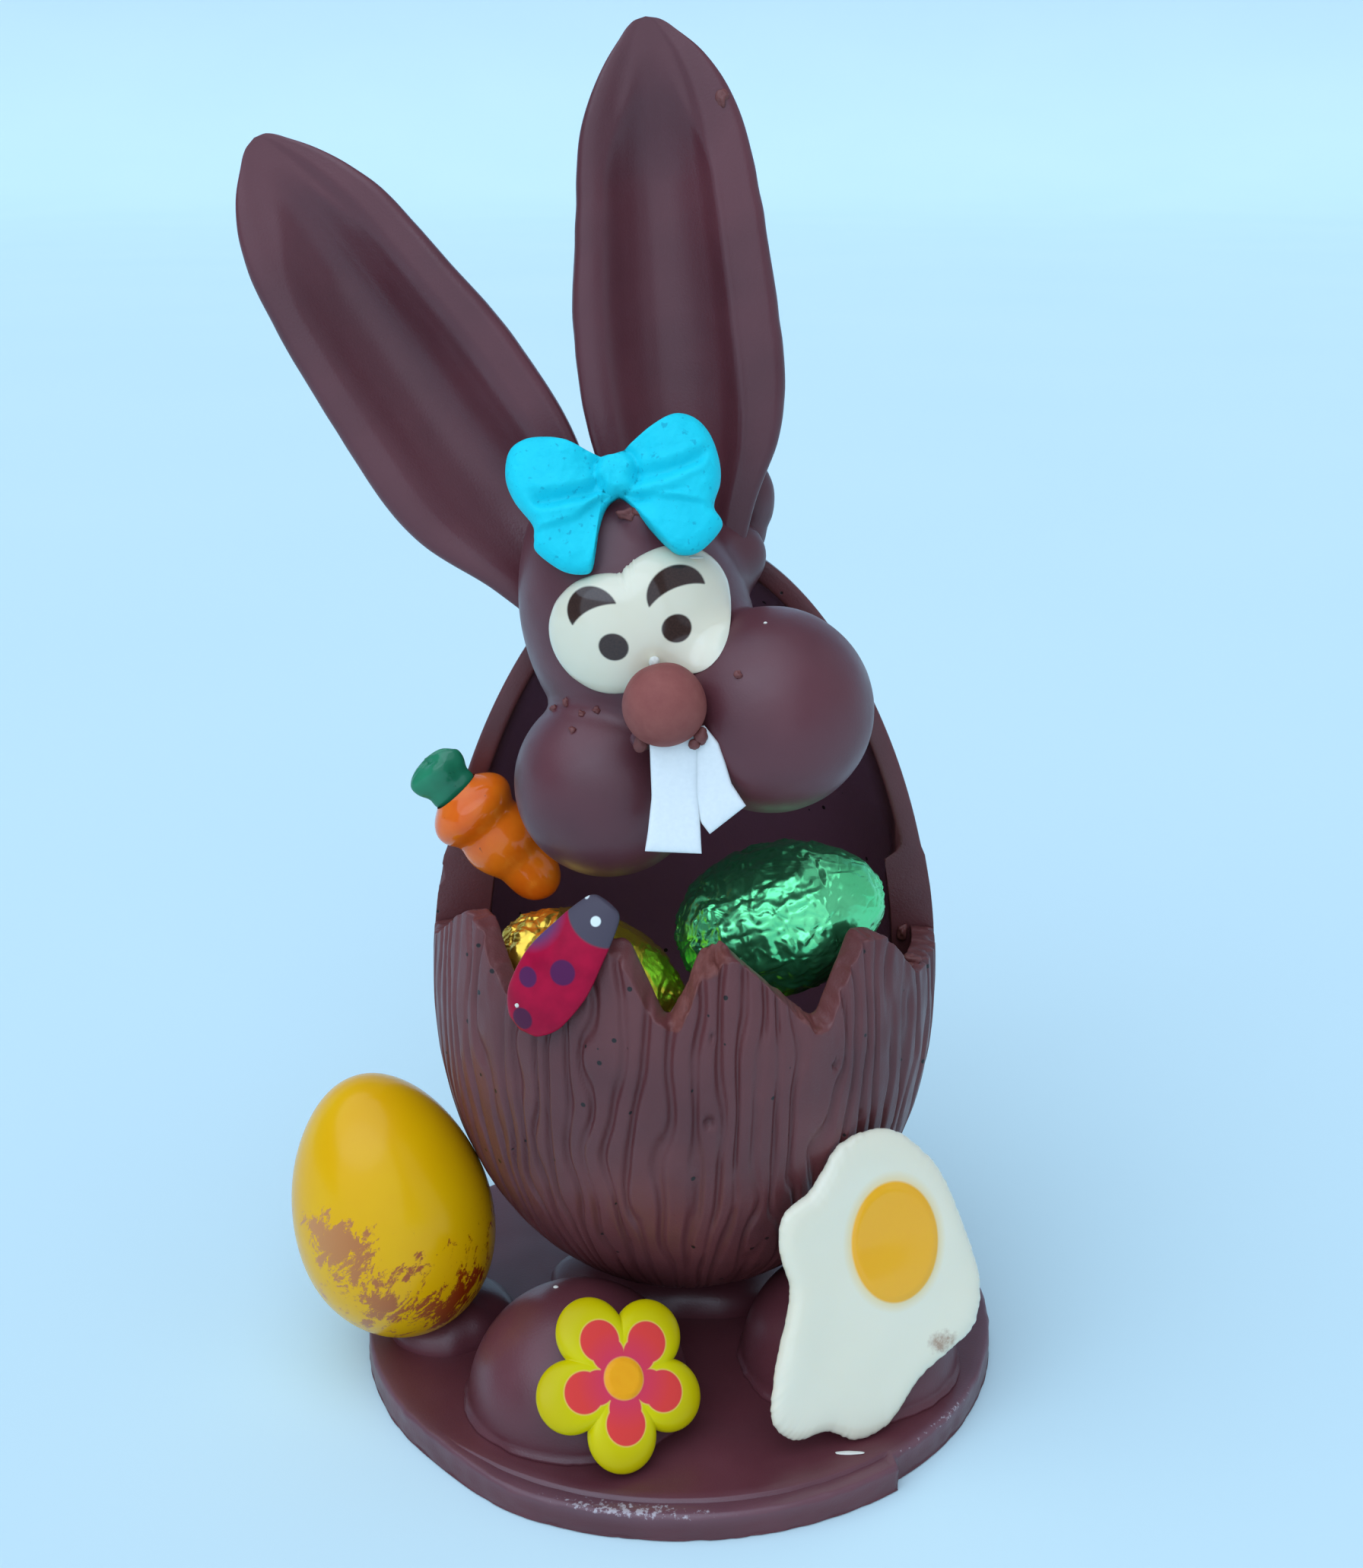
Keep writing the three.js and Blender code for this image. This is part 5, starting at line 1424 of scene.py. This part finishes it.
def half_egg(name, centre, seed):
    """Quarter circles turned round the upright, with faint waves, over the flash's ragged rings."""
    rise = np.linspace(0, np.pi / 2, 50)[:, None]
    turn = np.linspace(0, 2 * np.pi, 120, endpoint=False)
    circle = np.stack([np.cos(turn), np.sin(turn), 0 * turn], axis=-1)
    middle = np.array([*centre, 0])
    points = middle + HALF_EGG_RADIUS * np.sin(rise)[..., None] * circle
    points[..., 2] = PLATE_TOP + HALF_EGG_HEIGHT * np.cos(rise)
    points += 0.14 * uneven(points, 8, seed)[..., None] * [1, 1, 0.6]
    flash = 20.35 + 0.35 * uneven(circle, 0.3, seed + 1) + 0.2 * uneven(circle, 0.06, seed + 2)
    foot = [middle + flash[:, None] * share * circle + [0, 0, z] for share, z in FLASH]
    grid = np.concatenate([points[:-3], foot])
    build(name + ".shell", grid, [grid_faces(*grid.shape[:2], closed=True)], moulded, "milk_chocolate", name)


half_egg("half_egg_front", FRONT_HALF_AT, 191)
half_egg("half_egg_right", RIGHT_HALF_AT, 195)

# ---- Flower ------------------------------------------------------------------------------------
# A plaque of white chocolate cast as a flower with five round petals and printed: a lime rim, a
# coral flower with a pale outline and a yellow heart. It leans back on the front half egg.
FLOWER_AZIMUTH, FLOWER_TILT, FLOWER_PETAL, FLOWER_REACH, FLOWER_THICKNESS = 28.0, 38.0, 6.2, 9.2, 2.6
FLOWER_MIDDLES = np.radians([-104, -32, 38, 108, 182])
# The coral print: two discs along each petal, their distance from the heart and radius, and one in
# the middle; the pale line round it, and the heart with its own line.
PETAL_DISCS, PETAL_ROOT, PALE_LINE, HEART_LINE, HEART = [(7.5, 3.5), (4.9, 2.9)], 4.4, 0.2, 3.65, 3.45


def stood_up(points, place, azimuth, tilt):
    """Turns a plaque that faces the front by its azimuth and leans it back by its tilt."""
    return turned(azimuth, "Z", turned(-tilt, "X", points)) + place


def flower_print():
    """White chocolate under printed cocoa butter: satin, its tints blended from the heart out."""
    material, tree = new_material("white chocolate flower, printed")
    mark = node(tree, "Attribute", attribute_name="print").outputs["Vector"]
    place = node(tree, "TexCoord").outputs["Object"]

    def disc(centre, radius):
        """A printed disc with an edge 0.1 mm soft."""
        return printed_oval(tree, mark, centre, (radius, radius), 0.1)

    def petals(grow):
        """All discs of the coral print, joined, each grown by as many mm."""
        total = disc((0, 0), PETAL_ROOT + grow)
        for reach, radius in PETAL_DISCS:
            for m in FLOWER_MIDDLES.tolist():
                more = disc((reach * np.cos(m), reach * np.sin(m)), radius + grow)
                total = node(tree, "Math", {0: total, 1: more}, operation="MAXIMUM").outputs["Value"]
        return total

    away = node(tree, "VectorMath", {0: mark}, operation="LENGTH")
    rim = node(tree, "MapRange", {"Value": away.outputs["Value"], "From Min": 8.0, "From Max": 15.0})
    lime = node(tree, "MixRGB", {
        "Fac": rim.outputs["Result"], "Color1": rgb("dccc00"), "Color2": rgb("ccb400"),
    })
    pink = node(tree, "MapRange", {"Value": away.outputs["Value"], "From Min": 2.5, "From Max": 8.5})
    coral = node(tree, "MixRGB", {
        "Fac": pink.outputs["Result"], "Color1": rgb("d93a5c"), "Color2": rgb("e8433c"),
    })
    mottle = node(tree, "TexNoise", {"Vector": place, "Scale": 300.0, "Detail": 2.0})
    amber = node(tree, "MixRGB", {
        "Fac": mottle.outputs["Fac"], "Color1": rgb("f99e12"), "Color2": rgb("ffb01c"),
    })
    colour = lime.outputs["Color"]
    for cover, ink in (
        (petals(PALE_LINE), rgb("eac25a")), (petals(0), coral.outputs["Color"]),
        (disc((0, 0), HEART_LINE), rgb("f0a050")), (disc((0, 0), HEART), amber.outputs["Color"]),
    ):
        colour = node(tree, "MixRGB", {"Fac": cover, "Color1": colour, "Color2": ink}).outputs["Color"]
    finish_material(
        tree, Base_Color=colour, Roughness=0.32, IOR=1.46, Specular_IOR_Level=0.2, Subsurface_Weight=0.05,
        Subsurface_Radius=(1.0, 0.6, 0.3), Subsurface_Scale=0.001,
    )
    return material


def flower():
    """Rings over the outline of five petals and a disc; a low dome, rounded at the edge, with the
    heart a little higher. It touches the half egg where its azimuth and tilt point."""
    angle = np.linspace(0, 2 * np.pi, 360, endpoint=False)

    def inside(a, b):
        """True where a place lies in a petal or in the disc."""
        petals = [
            np.hypot(a - FLOWER_REACH * np.cos(m), b - FLOWER_REACH * np.sin(m)) < FLOWER_PETAL
            for m in FLOWER_MIDDLES
        ]
        return np.any(petals, axis=0) | (np.hypot(a, b) < FLOWER_REACH)

    s, a, b = moulding_rings(reach_of(inside, angle, 18), angle, 50)
    edge = (1 - s ** 8) ** 0.5
    rise = FLOWER_THICKNESS * edge * (0.72 + 0.28 * (1 - s ** 4)) + 0 * angle
    heart = 0.35 * (1 - smoothstep(2.9, 3.5, np.hypot(a, b)))
    top = np.stack([a, -(rise + heart * edge), b], axis=-1)
    back_rings = [49, 38, 20, 0]
    back = np.stack([a * 0.985, 0 * a, b * 0.985], axis=-1)[back_rings]
    ahead, up = np.radians([FLOWER_AZIMUTH, FLOWER_TILT])
    normal = np.array([np.sin(ahead) * np.cos(up), -np.cos(ahead) * np.cos(up), np.sin(up)])
    place = np.array([*FRONT_HALF_AT, PLATE_THICKNESS + 0.3]) + HALF_EGG_HEIGHT * normal
    grid = stood_up(np.concatenate([top, back]), place, FLOWER_AZIMUTH, FLOWER_TILT)
    build(
        "flower.plaque", grid, [grid_faces(*grid.shape[:2], closed=True)], flower_print(), "flower_print",
        "flower", fields={"print": print_places(a, b, back_rings)},
    )


flower()

# ---- Fried egg ---------------------------------------------------------------------------------
# A plaque of white chocolate poured as a fried egg, with a printed yolk, its edge rounded and a
# little ragged. It stands on the plate and leans on the right half egg and the shell.
FRIED_AT, FRIED_AZIMUTH, FRIED_TILT, FRIED_THICKNESS = np.array([33.9, -34.2, 31.5]), 22.0, 15.0, 2.6
YOLK_AT, YOLK_RADII = (3.9, 7.4), (8.3, 10.7)
FRIED_OUTLINE = [
    (2.2, 27.3), (8.1, 25.5), (14.5, 18), (18.2, 7.6), (20.6, -2.7), (18.9, -10.9), (12.6, -15.2),
    (6.9, -18.4), (0.4, -25), (-6.2, -26.4), (-11.5, -23.6), (-17.9, -23.6), (-21.4, -19.2),
    (-20.2, -11.2), (-16.1, 1.7), (-17.1, 9.4), (-16, 15.4), (-10.1, 19.3), (-4.4, 25.7),
]


def poured_egg():
    """White chocolate, glossy and faintly clouded at 20 mm. The yolk is printed, with a soft pale
    halo round it. A smudge of cocoa sits low on the right."""
    material, tree = new_material("white chocolate, poured, with a printed yolk")
    mark = node(tree, "Attribute", attribute_name="print").outputs["Vector"]
    place = node(tree, "TexCoord").outputs["Object"]
    milky = node(tree, "TexNoise", {"Vector": place, "Scale": 45.0, "Detail": 2.0})
    cream = node(tree, "MixRGB", {
        "Fac": milky.outputs["Fac"], "Color1": rgb("eadfc2"), "Color2": rgb("f2e9d2"),
    })
    warm = node(tree, "MixRGB", {
        "Fac": milky.outputs["Fac"], "Color1": rgb("f7a90f"), "Color2": rgb("fcb61f"),
    })
    dirt = node(tree, "TexNoise", {"Vector": place, "Scale": 700.0, "Detail": 4.0, "Roughness": 0.7})
    smudge = node(tree, "Math", {
        0: printed_oval(tree, mark, (11.5, -12.4), (3.2, 2.4), 1.92), 1: dirt.outputs["Fac"],
    }, operation="MULTIPLY")
    stain = node(tree, "MapRange", {
        "Value": smudge.outputs["Value"], "From Min": 0.25, "From Max": 0.6, "To Max": 0.75,
    })
    halo = printed_oval(tree, mark, YOLK_AT, (YOLK_RADII[0] + 0.6, YOLK_RADII[1] + 0.6), 1.07)
    yolk = printed_oval(tree, mark, YOLK_AT, YOLK_RADII, 0.17)
    colour = cream.outputs["Color"]
    for cover, ink in (
        (halo, rgb("f0cf8a")), (yolk, warm.outputs["Color"]), (stain.outputs["Result"], rgb("9c6a4e")),
    ):
        colour = node(tree, "MixRGB", {"Fac": cover, "Color1": colour, "Color2": ink}).outputs["Color"]
    finish_material(
        tree, Base_Color=colour, Roughness=0.2, IOR=1.46, Subsurface_Weight=0.25,
        Subsurface_Radius=(1.0, 0.8, 0.6), Subsurface_Scale=0.001, Coat_Weight=0.3, Coat_Roughness=0.08,
    )
    return material


def fried_egg():
    """Rings from the middle to the ragged outline. The face is level with slow waves, rounded at
    its edge, and the yolk stands up a third of a millimetre."""
    outline = closed_curve(FRIED_OUTLINE, 420)
    line = np.column_stack([outline, 0 * outline[:, 0]])
    outline = outline * (1 + 0.006 * uneven(line, 1.1, 201) + 0.004 * uneven(line, 0.5, 202))[:, None]
    s = np.sin(np.linspace(0, np.pi / 2, 60))[:, None]
    a, b = s * outline[:, 0], s * outline[:, 1]
    flat = np.stack([a, b, 0 * a], axis=-1)
    edge = (1 - s ** 12) ** 0.5
    from_yolk = np.hypot((a - YOLK_AT[0]) / YOLK_RADII[0], (b - YOLK_AT[1]) / YOLK_RADII[1])
    rise = FRIED_THICKNESS * edge * (0.78 + 0.12 * uneven(flat, 9, 203))
    rise = rise + 0.35 * (1 - smoothstep(0.86, 1.06, from_yolk)) * edge
    top = np.stack([a, -rise, b], axis=-1)
    back_rings = [59, 45, 25, 0]
    back = np.stack([a * 0.99, 0 * a, b * 0.99], axis=-1)[back_rings]
    grid = stood_up(np.concatenate([top, back]), FRIED_AT, FRIED_AZIMUTH, FRIED_TILT)
    build(
        "fried_egg.plaque", grid, [grid_faces(*grid.shape[:2], closed=True)], poured_egg(),
        "white_chocolate", "fried_egg", fields={"print": print_places(a, b, back_rings)},
    )


fried_egg()

# ---- Crumbs and drips --------------------------------------------------------------------------
# What came off while the pieces were broken and glued: crumbs of chocolate on the left cheek, under
# the bow, on the rim and on the right ear, lumps of glue under the nose, and specks of white
# chocolate that dripped from the plaques. Each has its centre and half-widths.
CHOCOLATE_CRUMBS = [
    ((7.1, 5.6, 226.9), (1.1, 0.6, 1.3)), ((9.2, -34.9, 141.9), (0.6, 0.5, 0.6)),
    ((-20.7, -18.6, 131.6), (0.7, 0.5, 0.6)), ((-18.4, -21.0, 133.5), (0.6, 0.4, 0.7)),
    ((-17.2, -26.0, 130.2), (0.8, 0.6, 0.7)), ((-13.3, -24.5, 133.2), (0.6, 0.5, 0.5)),
    ((-15.9, -23.7, 132.3), (0.6, 0.5, 0.5)), ((-8.1, -21.3, 164.6), (1.5, 0.8, 0.9)),
    ((-6.3, -21.6, 165.6), (1.0, 0.7, 1.1)), ((41.6, -9.4, 82.3), (1.5, 1.0, 1.0)),
    ((40.4, -11.2, 81.8), (0.9, 0.8, 0.8)), ((41.5, 7.6, 80.3), (0.9, 0.9, 1.4)),
]
GLUE_DROPS = [
    ((-6.0, -35.6, 131.0), (1.1, 1.0, 1.4)), ((3.4, -37.6, 132.9), (1.2, 1.0, 1.4)),
    ((2.4, -37.9, 131.7), (0.9, 0.8, 0.9)),
]
WHITE_DROPS = [
    ((-3.9, -30.4, 142.9), (0.85, 0.8, 0.95)), ((13.7, -27.3, 148.4), (0.3, 0.2, 0.2)),
    ((2.5, -21.2, 157.6), (1.5, 0.4, 0.25)), ((-26.8, -33.8, 84.9), (0.4, 0.25, 0.4)),
    ((29.5, -46.1, 5.65), (2.6, 0.5, 0.12)), ((-22.1, -25.5, 25.4), (0.5, 0.4, 0.2)),
]


def dripped_white():
    """White chocolate that dripped and set: satin, with faint clouds at 1.5 mm."""
    material, tree = new_material("white chocolate, dripped")
    place = node(tree, "TexCoord").outputs["Object"]
    milky = node(tree, "TexNoise", {"Vector": place, "Scale": 600.0, "Detail": 2.0})
    cream = node(tree, "MixRGB", {
        "Fac": milky.outputs["Fac"], "Color1": rgb("dcd6c8"), "Color2": rgb("eee8da"),
    })
    finish_material(tree, Base_Color=cream.outputs["Color"], Roughness=0.3, IOR=1.46)
    return material


def crumbs():
    """Small balls, each stretched to its size and roughened by a random field with spots 0.6 mm
    wide. Rough gives its strength, fresh how much of the broken look the surface has."""
    rows, columns = 14, 20
    for name, drops, material, slot, rough, fresh in (
        ("crumbs.chocolate", CHOCOLATE_CRUMBS, barked, "milk_chocolate", 0.5, 0.5),
        ("crumbs.glue", GLUE_DROPS, dipped, "milk_chocolate", 0.2, 0.7),
        ("crumbs.white", WHITE_DROPS, dripped_white(), "white_chocolate", 0.15, 0.0),
    ):
        balls = np.array([lattice_ball((0, 0, 0), (1, 1, 1), rows, columns)] * len(drops))
        centres, radii = (np.array([drop[k] for drop in drops])[:, None, None] for k in (0, 1))
        push = 1 + rough * uneven(balls + centres, 0.6, 221)
        points = centres + radii * balls * push[..., None]
        faces = [grid_faces(rows, columns, closed=True) + k * rows * columns for k in range(len(drops))]
        build(name, points, faces, material, slot, fields={"broken": np.full(points[..., 0].size, fresh)})


crumbs()
